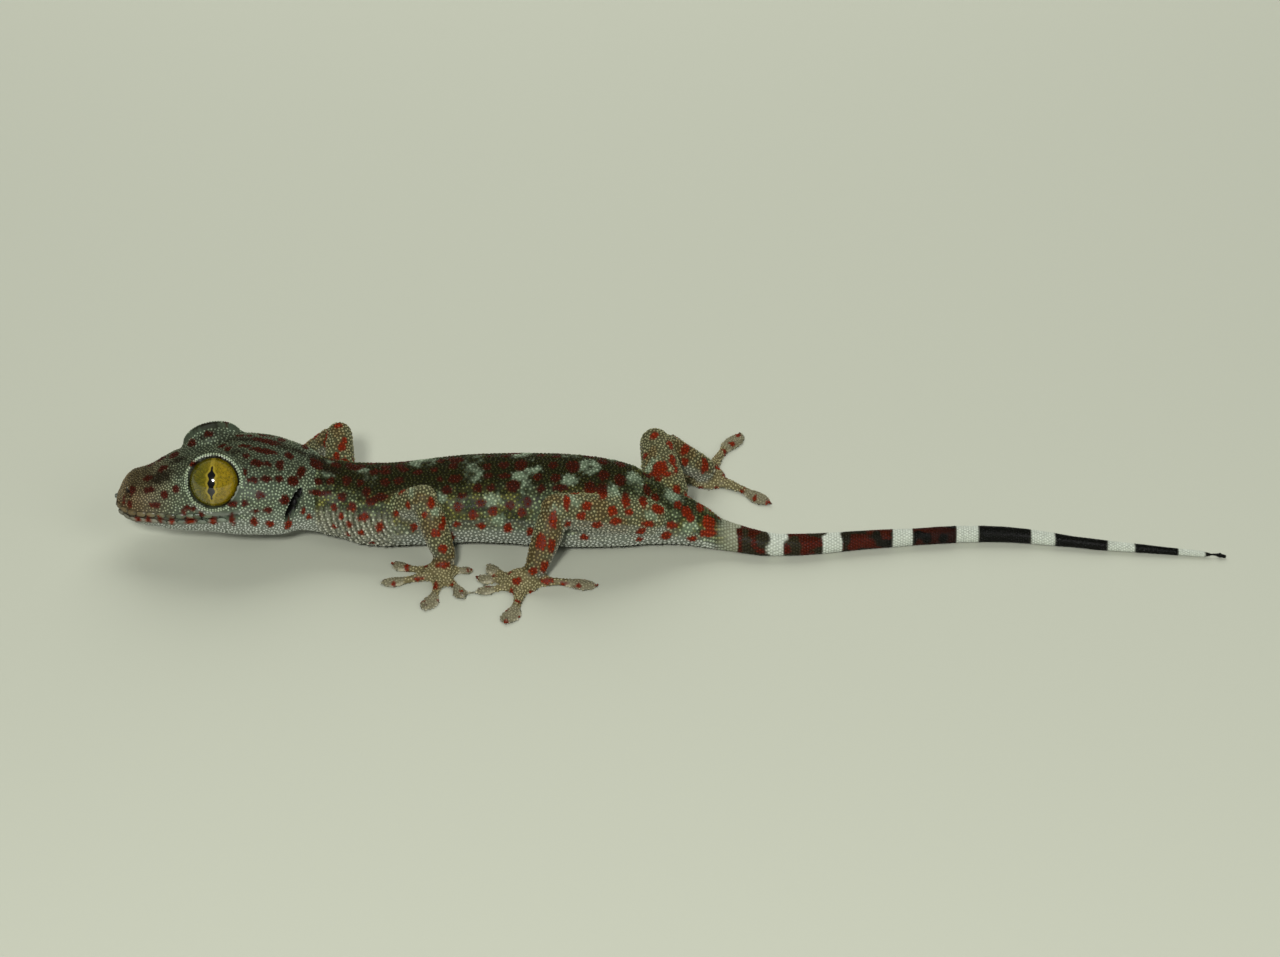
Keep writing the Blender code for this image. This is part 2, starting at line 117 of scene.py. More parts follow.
def joined(things, name):
    """Joins objects into one of a given name."""
    only(things[0])
    for thing in things:
        thing.select_set(True)
    bpy.ops.object.join()
    whole = bpy.context.active_object
    whole.name = name
    return whole


def read_places(mesh):
    """Vertices of a mesh as an array."""
    values = np.empty(len(mesh.vertices) * 3, dtype=np.float32)
    mesh.vertices.foreach_get("co", values)
    return values.reshape(-1, 3).astype(float)


def write_places(mesh, places):
    """Sets the vertices of a mesh from an array."""
    mesh.vertices.foreach_set("co", places.astype(np.float32).ravel())
    mesh.update()


def read_normals(mesh):
    """Vertex normals of a mesh as an array."""
    values = np.empty(len(mesh.vertices) * 3, dtype=np.float32)
    mesh.vertex_normals.foreach_get("vector", values)
    return values.reshape(-1, 3).astype(float)


def unit(vectors):
    """Vectors brought to length one."""
    return vectors / np.maximum(np.linalg.norm(vectors, axis=-1, keepdims=True), 1e-9)


shell_places, shell_faces, shell_part = [], [], []
copies = []
for number, name in enumerate(parts):
    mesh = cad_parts[name].data.copy()
    mesh.transform(Matrix.Scale(1 / MM, 4))
    mesh.materials.clear()
    offset = len(shell_places)
    shell_places += [vertex.co.copy() for vertex in mesh.vertices]
    for face in mesh.polygons:
        shell_faces.append([offset + corner for corner in face.vertices])
        shell_part.append(number)
    copy = bpy.data.objects.new(name + "_flesh", mesh)
    bpy.context.collection.objects.link(copy)
    copies.append(copy)
shell_part = np.array(shell_part)
shell = BVHTree.FromPolygons(shell_places, shell_faces)


def part_of(places):
    """Number of the named part that each place belongs to."""
    return np.array([shell_part[shell.find_nearest(Vector(place))[2]] for place in places])


skin = joined(copies, "gecko_skin")
skin.data.name = "gecko_skin"
bpy.ops.object.mode_set(mode="EDIT")
bpy.ops.mesh.select_all(action="SELECT")
bpy.ops.mesh.remove_doubles(threshold=WELD)
bpy.ops.object.mode_set(mode="OBJECT")
close = skin.modifiers.new("close_gaps", "DISPLACE")
close.strength = CLOSE_GAPS
close.mid_level = 0.0
merge = skin.modifiers.new("one_skin", "REMESH")
merge.mode = "VOXEL"
merge.voxel_size = GRAIN
finish_modifiers(skin)
bpy.ops.object.mode_set(mode="EDIT")
bpy.ops.mesh.select_all(action="SELECT")
bpy.ops.mesh.separate(type="LOOSE")
bpy.ops.object.mode_set(mode="OBJECT")
pieces = sorted(bpy.context.selected_objects, key=lambda piece: -len(piece.data.vertices))
skin = pieces[0]
skin.name = "gecko_skin"
for scrap in pieces[1:]:
    bpy.data.objects.remove(scrap)

edges = np.empty(len(skin.data.edges) * 2, dtype=np.int64)
skin.data.edges.foreach_get("vertices", edges)
edges = edges.reshape(-1, 2)
count = len(skin.data.vertices)
neighbours = np.bincount(edges.ravel(), minlength=count)


def relaxed(values, amount):
    """Values on the skin, each moved by a share towards the mean of its neighbours."""
    values = values.reshape(count, -1)
    mean = np.stack([np.bincount(edges[:, 0], values[edges[:, 1], axis], count)
                     + np.bincount(edges[:, 1], values[edges[:, 0], axis], count)
                     for axis in range(values.shape[1])], axis=1) / neighbours[:, None]
    return values + (mean - values) * amount


def even(places, rounds):
    """Smooths the skin and gives back what it shrinks by."""
    for turn in range(rounds):
        places = relaxed(relaxed(places, SOFTEN), GIVE_BACK)
    return places


skin_part = part_of(read_places(skin.data))
depth = np.full(count, BODY_DEPTH)
for number, name in enumerate(parts):
    for word, size in SCALE_DEPTH.items():
        if word in name:
            depth[skin_part == number] = size
for turn in range(DEPTH_ROUNDS):
    depth = relaxed(depth, SOFTEN)[:, 0]
places = even(read_places(skin.data), 4)
for step in range(PULL_STEPS):
    write_places(skin.data, places)
    places = places - read_normals(skin.data) * ((CLOSE_GAPS + depth) / PULL_STEPS)[:, None]
    places = even(places, 2)
write_places(skin.data, places)


def numbers(*words):
    """Numbers of the parts whose names end with one of the words."""
    return [parts.index(name) for name in parts if name.endswith(words)]


body_parts = ["head", "lower_jaw", "neck", "torso", "tail_1", "tail_2", "tail_3", "tail_4"]
is_body = np.isin(skin_part, numbers(*body_parts))
limb_share = np.where(is_body, 0.0, 1.0)
for turn in range(LIMB_ROUNDS):
    limb_share = relaxed(limb_share, LIMB_SPREAD)[:, 0]
slice_x = np.arange(-HALF_LENGTH, HALF_LENGTH + 0.5, SLICE)
slice_side, slice_height = [], []
for x in slice_x:
    ring = places[is_body & (np.abs(places[:, 0] - x) < SLICE_HALF)]
    slice_side.append((ring[:, 1].min() + ring[:, 1].max()) / 2)
    slice_height.append((ring[:, 2].min() + ring[:, 2].max()) / 2)


def running_mean(values):
    """Each value averaged with its neighbours along the body."""
    padded = np.pad(values, SLICES_AVERAGED // 2, "edge")
    return np.convolve(padded, np.full(SLICES_AVERAGED, 1 / SLICES_AVERAGED), "valid")


slice_side, slice_height = running_mean(slice_side), running_mean(slice_height)


def middle_side(x):
    """Where the body's middle plane lies at x."""
    return np.interp(x, slice_x, slice_side)


def middle_height(x):
    """Height of the body's axis at x."""
    return np.interp(x, slice_x, slice_height)


# Eyes
# Each eye is a clear-fronted ball with an olive-gold iris and an upright slit pupil whose edges
# are scalloped. Light and shade are painted into the iris: gold on one side, olive on the other
# and darker towards its edge. It has no moving lid, only a pale rim of tiny scales.

EYE_RADIUS = 2.5
EYE_FLAT = 0.92
CORNEA_SWELL = 0.05
CORNEA_RADIUS = 2.0
PUPIL_HALF_HEIGHT = 1.68
PUPIL_HALF_WIDTH = 0.3
LOBE_PITCH = 0.78
LOBE_DEPTH = 0.07
IRIS_SHADED_FROM = 1.95
IRIS_RADIUS = 2.34
IRIS_SHADED_OLIVE = (70, 70, 4)
IRIS_LIT_GOLD = (126, 104, 8)
IRIS_FIBRE = (146, 126, 18)
IRIS_MARBLE = (80, 76, 5)
IRIS_VEIN = (40, 36, 2)
IRIS_SHADE = (64, 56, 4)
IRIS_RIM = (14, 12, 6)
PUPIL_RIM = (170, 150, 50)
PUPIL_BLACK = (3, 3, 2)


class Wire:
    """A socket in a material. An expression on wires adds the Math nodes it needs."""

    def __init__(self, tree, socket=None):
        self.tree = tree
        self.socket = socket

    def node(self, kind, settings=None, values=None, out=0):
        """Adds a node, sets it up, feeds its sockets and gives one of its outputs."""
        made = self.tree.nodes.new(kind)
        for name, value in (settings or {}).items():
            setattr(made, name, value)
        for key, value in (values or {}).items():
            if isinstance(value, Wire):
                self.tree.links.new(value.socket, made.inputs[key])
            else:
                made.inputs[key].default_value = value
        return Wire(self.tree, made.outputs[out])

    def maths(self, operation, first, second=0.0):
        """One Math node on two wires or numbers."""
        return self.node("ShaderNodeMath", {"operation": operation}, {0: first, 1: second})

    def __add__(self, other):
        return self.maths("ADD", self, other)

    __radd__ = __add__

    def __sub__(self, other):
        return self.maths("SUBTRACT", self, other)

    def __rsub__(self, other):
        return self.maths("SUBTRACT", other, self)

    def __mul__(self, other):
        return self.maths("MULTIPLY", self, other)

    __rmul__ = __mul__

    def __truediv__(self, other):
        return self.maths("DIVIDE", self, other)

    def __pow__(self, other):
        return self.maths("POWER", self, other)

    def __abs__(self):
        return self.maths("ABSOLUTE", self)

    def between(self, low, high):
        """0 below low, 1 above high and a soft step between them."""
        return self.node("ShaderNodeMapRange", {"interpolation_type": "SMOOTHSTEP"},
                         {"Value": self, "From Min": low, "From Max": high})

    def blend(self, first, second):
        """First colour where this wire is 0, second where it is 1."""
        return self.node("ShaderNodeMix", {"data_type": "RGBA"}, {0: self, 6: first, 7: second}, 2)

    def noise(self, where, scale, detail=2.0, roughness=0.5):
        """Soft random values through space."""
        return self.node("ShaderNodeTexNoise", {},
                         {"Vector": where, "Scale": scale, "Detail": detail, "Roughness": roughness})


def colour(red, green, blue):
    """Colour from its everyday 0 to 255 values."""
    def straight(value):
        value /= 255
        return value / 12.92 if value <= 0.04045 else ((value + 0.055) / 1.055) ** 2.4
    return (straight(red), straight(green), straight(blue), 1.0)


def new_material(name, **sockets):
    """Material with its plain sockets set, its shader node and a wire to build on."""
    material = bpy.data.materials.new(name)
    material.use_nodes = True
    shader = material.node_tree.nodes["Principled BSDF"]
    for key, value in sockets.items():
        shader.inputs[key.replace("_", " ")].default_value = value
    return material, shader, Wire(material.node_tree)


def feed(shader, socket, wire):
    """Links a wire to one of the shader's sockets."""
    wire.tree.links.new(wire.socket, shader.inputs[socket])


iris_material, shader, wire = new_material("gecko_eye", Roughness=0.12, IOR=1.38, Coat_Weight=1.0,
                                           Coat_Roughness=0.02)
iris_map = wire.node("ShaderNodeUVMap", {"uv_map": "iris"})
ahead = wire.node("ShaderNodeSeparateXYZ", {}, {0: iris_map})
level = Wire(ahead.tree, ahead.socket.node.outputs[0])
upright = Wire(ahead.tree, ahead.socket.node.outputs[1])
radius = (level * level + upright * upright) ** 0.5
angle = wire.maths("ARCTAN2", upright, level)
fibre_place = wire.node("ShaderNodeCombineXYZ", {}, {0: angle * 5.0, 1: radius * 0.9, 2: 0.0})
fibres = wire.noise(fibre_place, 2.2, 5.0, 0.65)
marble = wire.noise(iris_map, 2.6, 6.0, 0.7)
veins = abs(wire.noise(iris_map, 1.9, 5.0, 0.6) - 0.5).between(0.035, 0.0)
# The iris runs from olive on one side to gold on the other: painted light and shade across it.
gold = level.between(-1.6, 1.6).blend(colour(*IRIS_SHADED_OLIVE), colour(*IRIS_LIT_GOLD))
gold = (fibres.between(0.4, 0.7) * 0.4).blend(gold, colour(*IRIS_FIBRE))
gold = (marble.between(0.45, 0.65) * 0.6).blend(gold, colour(*IRIS_MARBLE))
gold = (veins * 0.6).blend(gold, colour(*IRIS_VEIN))
# Towards its edge the iris is darkened: painted shade.
gold = (radius.between(IRIS_SHADED_FROM, IRIS_RADIUS) * 0.7).blend(gold, colour(*IRIS_SHADE))
gold = radius.between(2.33, 2.42).blend(gold, colour(*IRIS_RIM))
lobes = wire.maths("COSINE", upright * (2 * math.pi / LOBE_PITCH)) * LOBE_DEPTH
slit = (1.0 - abs(upright) / PUPIL_HALF_HEIGHT).between(0.0, 0.5) * PUPIL_HALF_WIDTH + lobes
slit = slit * (1.0 - abs(upright) / PUPIL_HALF_HEIGHT).between(0.0, 0.12)
pupil = (abs(level) - slit).between(0.03, -0.03)
pupil = pupil * (1.0 - abs(upright).between(PUPIL_HALF_HEIGHT - 0.06, PUPIL_HALF_HEIGHT))
rimmed = (abs(level) - slit - 0.14).between(0.12, 0.0) * 0.35
gold = rimmed.blend(gold, colour(*PUPIL_RIM))
feed(shader, "Base Color", pupil.blend(gold, colour(*PUPIL_BLACK)))

eye_places = {}
for name in ("left_eye", "right_eye"):
    points = np.unique((read_places(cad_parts[name].data) / MM).round(3), axis=0)
    fit = np.linalg.lstsq(np.c_[2 * points, np.ones(len(points))], (points ** 2).sum(1), rcond=None)[0]
    centre = Vector(fit[:3])
    way = (Vector(points.mean(axis=0)) - centre).normalized()
    eye_places[name] = (centre, way)
    bpy.ops.object.select_all(action="DESELECT")
    bpy.ops.mesh.primitive_uv_sphere_add(segments=64, ring_count=32, radius=EYE_RADIUS)
    eye = bpy.context.active_object
    eye.name = name + "_ball"
    bpy.ops.object.mode_set(mode="EDIT")
    bpy.ops.mesh.select_all(action="SELECT")
    bpy.ops.mesh.bisect(plane_co=(0, 0, EYE_FLAT), plane_no=(0, 0, 1), use_fill=True, clear_inner=True)
    bpy.ops.object.mode_set(mode="OBJECT")
    points = read_places(eye.data)
    off_axis = np.hypot(points[:, 0], points[:, 1])
    points[:, 2] += CORNEA_SWELL * np.clip(1 - (off_axis / CORNEA_RADIUS) ** 2, 0, 1) * (points[:, 2] > 0)
    write_places(eye.data, points)
    eye.data.uv_layers.remove(eye.data.uv_layers[0])
    iris = eye.data.uv_layers.new(name="iris")
    for loop in eye.data.loops:
        iris.data[loop.index].uv = points[loop.vertex_index, :2]
    level_way = Vector((0, 0, 1)).cross(way).normalized()
    turn = Matrix((level_way, way.cross(level_way), way)).transposed().to_4x4()
    eye.data.transform(Matrix.Scale(MM, 4) @ Matrix.Translation(centre) @ turn)
    eye.data.shade_smooth()
    eye.data.materials.append(iris_material)
    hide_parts(name)
    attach(eye, "root")


# Face
# The mouth line runs from the snout to behind the eye between two swollen lips. Before
# each eye the cheek is hollow, the nostril is a small pit and the ear an open upright slit.

MOUTH_X = [-2.0, 2.0, 6.0, 9.0, 11.0, 12.6]
MOUTH_Z = [4.5, 4.62, 4.78, 5.0, 5.4, 5.75]
MOUTH_END = 12.6
MOUTH_DEPTH = 0.12
LIP_SWELL = 0.08
CHEEK_HOLLOW = (5.1, 7.2)
HOLLOW_DEPTH = 0.28
NOSTRIL = (1.5, 6.45)
NOSTRIL_RADIUS = 0.22
NOSTRIL_SWELL = 0.16
NOSTRIL_DEPTH = 0.45
EAR = (17.35, 6.0)
EAR_HALF = (1.38, 0.46)
EAR_LEAN = math.radians(30)
EAR_DEPTH = 0.85
SHOULDER = (29.4, 5.2)
FOLD_PITCH = 0.56
FOLD_RISE = 0.15
LOWEST_SKIN = 0.03
ELSEWHERE = 9


def from_snout(places):
    """Distance behind the snout tip of each place."""
    return places[:, 0] + MIDDLE[0]


def above_mouth(places):
    """Height of each place above the mouth line."""
    return places[:, 2] - np.interp(from_snout(places), MOUTH_X, MOUTH_Z)


def hill(distance, width):
    """Smooth hill, 1 at no distance."""
    return np.exp(-(distance / width) ** 2)


def soft_step(values, low, high):
    """0 below low, 1 above high and smooth between them."""
    share = np.clip((values - low) / (high - low), 0, 1)
    return share * share * (3 - 2 * share)


def side_distance(places):
    """Distance of each place from the body's middle plane."""
    return np.abs(places[:, 1] - middle_side(places[:, 0]))


def ear_distance(places):
    """How far each place is from the ear slit, 1 at its edge."""
    back = from_snout(places) - EAR[0]
    up = places[:, 2] - EAR[1]
    along = up * math.cos(EAR_LEAN) + back * math.sin(EAR_LEAN)
    over = back * math.cos(EAR_LEAN) - up * math.sin(EAR_LEAN)
    return (np.hypot(along / EAR_HALF[0], over / EAR_HALF[1])
            + (side_distance(places) < 2.0) * ELSEWHERE)


def nostril_distance(places):
    """How far each place is from the nearer nostril."""
    return (np.hypot(from_snout(places) - NOSTRIL[0], places[:, 2] - NOSTRIL[1])
            + (side_distance(places) < 0.8) * ELSEWHERE)


def neck_folds(places):
    """Share of the folded skin before the shoulder, and the height of its narrow folds."""
    x = from_snout(places)
    away = np.hypot(x - SHOULDER[0], (places[:, 2] - SHOULDER[1]) * 1.1)
    share = (soft_step(x, 18.6, 20.4) * soft_step(28.2 - x, 0, 2.5)
             * soft_step(5.6 - places[:, 2], 0, 1.6) * soft_step(side_distance(places), 1.0, 2.6))
    return share, 0.5 + 0.5 * np.cos(away * (2 * math.pi / FOLD_PITCH))


is_head = np.isin(skin_part, numbers("head", "lower_jaw"))
ups = read_normals(skin.data)
mouth = (from_snout(places) < MOUTH_END) * is_head * (np.abs(ups[:, 2]) < 0.85)
over = above_mouth(places)
move = -MOUTH_DEPTH * hill(over, 0.1) * mouth
move += LIP_SWELL * (hill(over - 0.42, 0.3) + hill(over + 0.42, 0.28)) * mouth
hollow = np.hypot(from_snout(places) - CHEEK_HOLLOW[0], places[:, 2] - CHEEK_HOLLOW[1])
move -= HOLLOW_DEPTH * hill(hollow, 1.2) * is_head * (side_distance(places) > 1.5)
move += NOSTRIL_SWELL * hill(np.hypot(from_snout(places) - 1.7, places[:, 2] - 6.5), 0.7) * is_head
move -= NOSTRIL_DEPTH * (nostril_distance(places) < NOSTRIL_RADIUS + 0.05) * is_head
fold_share, fold = neck_folds(places)
move += fold_share * (fold - 0.5) * FOLD_RISE * is_body
places = places + ups * relaxed(move, 0.3)
inside_ear = (ear_distance(places) < 1.05) * is_head
places[:, 1] -= np.sign(places[:, 1] - middle_side(places[:, 0])) * inside_ear * EAR_DEPTH
places[:, 2] = np.maximum(places[:, 2], LOWEST_SKIN)
write_places(skin.data, places)
ups = read_normals(skin.data)
hide = BVHTree.FromPolygons([Vector(place) for place in places],
                            [tuple(face.vertices) for face in skin.data.polygons])


# Markings
# Brick-red spots on grey-green, whitish bars across the back, and a tail ringed in black
# and white. Marks on the near side are read in the picture: across, down, length and height
# in pixels and sometimes a turn in degrees. The far side mirrors them or is filled in.

HEAD_SPOTS = (
    (131, 491, 9, 9), (149, 490, 11, 6), (164, 495, 9, 8), (155, 505, 11, 6), (176, 489, 8, 7),
    (148, 478, 9, 5), (174, 455, 10, 6), (163, 468, 10, 5), (192, 443, 13, 7, -25), (208, 434, 10, 6),
    (190, 508, 15, 5), (183, 512, 6, 6), (201, 514, 6, 6), (233, 504, 9, 7), (232, 519, 6, 14),
    (245, 503, 8, 7), (260, 495, 10, 8), (285, 500, 12, 8), (256, 511, 9, 4), (268, 510, 9, 6),
    (254, 521, 7, 9), (270, 524, 9, 7), (288, 525, 9, 7), (138, 519, 6, 6), (149, 519, 6, 8),
    (160, 519, 6, 8), (172, 520, 6, 10), (190, 520, 11, 8), (213, 521, 9, 9), (253, 480, 12, 6),
    (266, 479, 12, 6), (279, 479, 9, 6), (293, 481, 14, 8, 20), (301, 472, 8, 13, -20),
    (257, 463, 12, 7), (268, 464, 8, 5), (280, 465, 8, 10), (264, 451, 28, 5), (289, 456, 10, 6),
    (245, 446, 12, 3), (271, 444, 12, 3), (222, 446, 8, 4), (240, 436, 8, 4), (245, 472, 5, 6),
    (246, 456, 6, 5), (228, 449, 7, 4), (130, 504, 6, 6), (124, 500, 4, 5))
BODY_SPOTS = (
    (441, 461, 7, 5), (457, 460, 13, 7), (453, 466, 8, 6), (487, 467, 8, 6), (504, 465, 11, 7),
    (521, 465, 12, 12), (553, 465, 9, 7), (573, 466, 14, 12), (604, 475, 11, 9), (620, 480, 11, 12),
    (385, 472, 12, 5), (404, 470, 9, 5), (418, 472, 9, 5), (434, 470, 7, 5), (455, 479, 13, 8),
    (440, 479, 6, 5), (488, 476, 8, 5), (505, 476, 12, 5), (538, 477, 9, 7), (556, 478, 9, 8),
    (647, 490, 9, 9), (385, 482, 9, 7), (398, 481, 8, 6), (402, 491, 9, 7), (447, 490, 10, 9),
    (462, 496, 9, 6), (478, 488, 9, 9), (491, 488, 9, 7), (513, 486, 15, 12), (541, 489, 8, 8),
    (560, 488, 15, 7), (590, 488, 12, 14), (602, 494, 11, 15), (626, 500, 9, 13), (643, 502, 9, 8),
    (658, 509, 16, 9), (383, 497, 8, 7), (458, 507, 9, 10), (481, 503, 10, 8), (493, 511, 9, 10),
    (510, 505, 11, 8), (528, 502, 9, 11), (522, 512, 9, 9), (473, 515, 9, 10), (612, 511, 11, 9),
    (616, 521, 12, 7), (414, 527, 7, 8), (457, 524, 7, 5), (481, 526, 9, 6), (508, 528, 9, 10),
    (530, 532, 7, 9), (584, 537, 9, 6), (648, 524, 14, 6), (641, 531, 10, 6), (640, 539, 7, 4),
    (666, 536, 11, 8), (672, 525, 12, 7), (686, 511, 10, 10), (690, 518, 9, 8), (700, 507, 8, 9),
    (709, 523, 14, 14), (708, 533, 17, 8), (692, 539, 10, 6), (347, 481, 9, 10), (360, 483, 7, 7),
    (367, 492, 8, 10), (381, 497, 12, 8), (372, 501, 12, 8, 20), (342, 497, 10, 9), (320, 493, 22, 6),
    (331, 481, 8, 7), (318, 482, 9, 6), (352, 507, 9, 10), (334, 507, 7, 7), (341, 516, 6, 6),
    (364, 517, 12, 8, 25), (380, 527, 8, 8), (349, 524, 7, 6), (334, 526, 5, 5), (361, 533, 7, 5),
    (348, 534, 5, 4), (309, 517, 6, 5), (303, 511, 5, 6), (372, 543, 6, 4), (355, 468, 13, 6),
    (374, 472, 9, 6), (385, 481, 7, 5), (400, 480, 7, 6), (316, 464, 14, 9), (336, 465, 11, 6),
    (396, 513, 6, 6), (408, 505, 6, 6), (655, 498, 8, 7), (678, 505, 8, 8), (629, 512, 9, 6))
LIMB_SPOTS = (
    (431, 503, 8, 9), (443, 523, 7, 17, -10), (436, 533, 9, 8), (424, 515, 5, 5), (443, 549, 9, 8),
    (443, 565, 13, 6), (452, 538, 5, 9), (553, 520, 7, 17), (541, 542, 11, 15), (552, 546, 8, 9),
    (545, 567, 10, 9), (567, 501, 7, 16), (581, 516, 9, 7), (587, 506, 9, 9), (597, 525, 10, 6),
    (568, 524, 6, 5), (533, 571, 9, 6), (517, 581, 9, 7), (547, 581, 11, 6), (564, 584, 6, 5),
    (654, 436, 8, 7, -20), (670, 445, 9, 8), (673, 460, 8, 9), (660, 466, 14, 9), (686, 448, 8, 11, -30),
    (685, 462, 7, 8), (705, 465, 9, 11), (717, 467, 9, 8), (724, 476, 6, 7), (732, 444, 7, 5),
    (725, 455, 6, 6), (738, 435, 5, 4), (742, 493, 6, 6), (755, 498, 5, 5), (338, 425, 8, 6),
    (317, 435, 9, 8), (327, 436, 6, 6), (325, 444, 5, 4), (342, 447, 8, 8), (306, 439, 7, 5),
    (344, 440, 6, 6), (418, 579, 8, 4), (407, 566, 6, 4), (435, 586, 5, 7), (486, 572, 7, 5),
    (512, 592, 6, 6), (578, 586, 6, 4), (676, 469, 5, 6), (666, 474, 9, 5))
PALE_PATCHES = (
    (423, 462, 24, 11), (474, 473, 14, 12), (469, 463, 12, 9), (492, 500, 14, 12), (533, 465, 17, 14),
    (527, 487, 12, 12), (520, 476, 14, 8), (589, 466, 18, 12), (569, 480, 13, 9), (635, 480, 15, 12),
    (613, 494, 12, 12), (673, 496, 17, 11), (572, 500, 14, 8), (440, 498, 10, 8), (363, 470, 12, 6),
    (370, 478, 8, 8), (326, 474, 10, 5), (498, 520, 12, 9), (555, 510, 10, 6), (690, 527, 13, 9),
    (728, 525, 16, 12), (652, 515, 12, 8), (412, 490, 8, 6), (632, 512, 10, 7), (435, 512, 9, 8))
DARK_STREAKS = (
    (161, 477, 27, 12), (250, 440, 54, 4), (283, 447, 36, 4, -5), (317, 461, 22, 13, -40),
    (300, 452, 22, 5, -20), (204, 437, 34, 4, 12), (236, 452, 14, 4), (330, 470, 20, 8, -25),
    (178, 460, 16, 5, 30), (205, 424, 26, 4), (268, 440, 40, 3, -4), (322, 481, 12, 5))
RINGS = (
    (56.0, 58.0), (59.9, 62.6), (64.4, 68.1), (69.9, 74.7), (76.7, 80.9), (83.1, 88.1), (90.4, 95.4),
    (98.0, 102.1), (104.7, 108.0))
SPOT_SPACING = 2.0
PALM_SPOT_SPACING = 1.5
SPOT_HALF = (0.34, 0.52)
PALM_SPOT_HALF = (0.16, 0.3)
MARK_REACH = 1.3
CLOUDS = (1.6, 0.55)
MOTTLE = 0.45
RING_CLOUDS = 0.8
# Each tone: strength, colour at a scale's root, colour on its crown; dark roots are partly painted shade,
# pale crowns partly painted highlight.
TONES = {
    "ground": (1.0, (20, 30, 12), (156, 172, 128)),
    "olive": (0.85, (30, 28, 1), (134, 130, 52)),
    "mottle": (0.85, (12, 16, 3), (56, 66, 30)),
    "head": (0.8, (26, 36, 24), (164, 180, 152)),
    "snout": (0.75, (42, 26, 6), (146, 114, 72)),
    "back": (1.0, (9, 8, 0), (50, 50, 18)),
    "limb": (1.0, (30, 30, 10), (162, 160, 118)),
    "ochre": (0.55, (44, 27, 3), (132, 104, 54)),
    "foot": (0.85, (76, 68, 40), (178, 170, 128)),
    "pad": (0.9, (92, 88, 68), (140, 136, 110)),
    "pad_rim_glint": (0.8, (140, 136, 112), (186, 182, 158)),
    "belly": (1.0, (92, 98, 86), (206, 210, 198)),
    "pale": (0.75, (80, 96, 72), (176, 192, 164)),
    "fold": (0.85, (120, 120, 100), (216, 216, 196)),
    "crease_shade": (0.7, (34, 30, 18), (70, 66, 44)),
    "streak": (0.9, (12, 7, 1), (40, 32, 14)),
    "tail_pale": (1.0, (104, 106, 84), (150, 154, 132)),
    "tail_white": (1.0, (150, 156, 142), (196, 202, 188)),
    "tail_brown": (1.0, (26, 22, 8), (64, 58, 34)),
    "tail_black": (1.0, (2, 2, 1), (14, 15, 9)),
    "red": (1.0, (40, 7, 0), (86, 22, 2)),
    "shaded_back_red": (0.8, (26, 6, 0), (66, 20, 2)),
    "bright_red": (0.8, (80, 18, 0), (148, 46, 6)),
    "opening_shade": (1.0, (5, 4, 3), (16, 13, 9)),
    "lid_shadow": (0.9, (24, 22, 14), (60, 56, 40)),
}
FEET = {
    "left_front_hand": ((31.3, -8.5), ((157, 4.9), (196, 5.6), (260, 6.3), (300, 4.8), (14, 3.1))),
    "right_front_hand": ((16.0, 10.6), ((215, 4.6), (172, 5.4), (132, 5.6), (92, 5.0), (42, 4.6))),
    "left_hind_foot": ((39.1, -10.2), ((135, 4.6), (165, 4.3), (199, 4.4), (260, 7.0), (357, 7.1))),
    "right_hind_foot": ((57.1, 9.6), ((185, 4.8), (152, 6.4), (112, 9.3), (69, 9.7), (322, 7.5))),
}


def spots_on_near_side(marks, grow=1.0):
    """Centre, facing and the two half sizes along the hide of each mark of the picture."""
    found = []
    for across, down, long, high, *turn in marks:
        way = sight_line(across, down)
        place, facing, face, far = hide.ray_cast(camera.location / MM, way)
        if place is None or place.z < 0.1:
            continue
        lean = max(facing.dot(TO_CAMERA), 0.5)
        tilt = math.radians(turn[0]) if turn else 0.0
        along = RIGHTWARD * math.cos(tilt) + UPWARD * math.sin(tilt)
        along = (along - facing * along.dot(facing)).normalized()
        high = min(high * PIXEL / 2 / lean, long * PIXEL * 1.1 + 0.1)
        found.append((np.array(place), np.array(facing), np.array(along),
                      long * PIXEL / 2 * grow, high * grow))
    return found


def mirrored(marks, random):
    """The same marks on the other side of the body, a little displaced."""
    flip = np.array([1.0, -1.0, 1.0])
    found = []
    for place, facing, along, long, high in marks:
        across = place[1] - middle_side(place[0])
        if across > -0.9:
            continue
        other = place * flip + np.array([0.0, 2 * middle_side(place[0]), 0.0])
        other = other + random.normal(0, 0.12, 3)
        other = np.array(hide.find_nearest(Vector(other))[0])
        found.append((other, facing * flip, along * flip, long, high))
    return found


def filled(marks, random, spacing, wanted, sizes):
    """More marks on the wanted part of the hide, wherever it has none yet."""
    tree = KDTree(len(marks))
    for number, mark in enumerate(marks):
        tree.insert(Vector(mark[0]), number)
    tree.balance()
    added = []
    free = random.permutation([number for number in np.flatnonzero(wanted)
                               if tree.find(Vector(places[number]))[2] > spacing])
    while len(free):
        place, facing = places[free[0]], ups[free[0]]
        free = free[((places[free] - place) ** 2).sum(axis=1) > spacing ** 2]
        along = unit(np.cross(facing, random.normal(0, 0.2, 3) + (0, 0.7, 0.7)))
        long = random.uniform(*sizes)
        added.append((place, facing, along, long, long * random.uniform(0.75, 1.05)))
    return added


def cover_of(at, marks, edge, uneven=0.1):
    """Share of each place that the marks cover, with soft and uneven edges."""
    cover = np.zeros(len(at))
    order = np.argsort(at[:, 0])
    in_order = at[order, 0]
    rough = uneven * np.sin(at[:, 0] * 9.1 + at[:, 2] * 4.3) * np.sin(at[:, 1] * 8.3 - at[:, 2] * 7.7)
    for place, facing, along, long, high in marks:
        room = max(long, high) * 1.5 + 0.2
        first, last = np.searchsorted(in_order, (place[0] - room, place[0] + room))
        near = order[first:last]
        near = near[np.abs(at[near] - place).max(axis=1) < room]
        away = at[near] - place
        up = np.cross(facing, along)
        ratio = np.sqrt((away @ along / long) ** 2 + (away @ up / high) ** 2
                        + (away @ facing / MARK_REACH) ** 2)
        gap = (ratio - 1) * min(long, high) + rough[near]
        cover[near] = np.maximum(cover[near], np.clip(0.5 - gap / edge, 0, 1))
    return cover


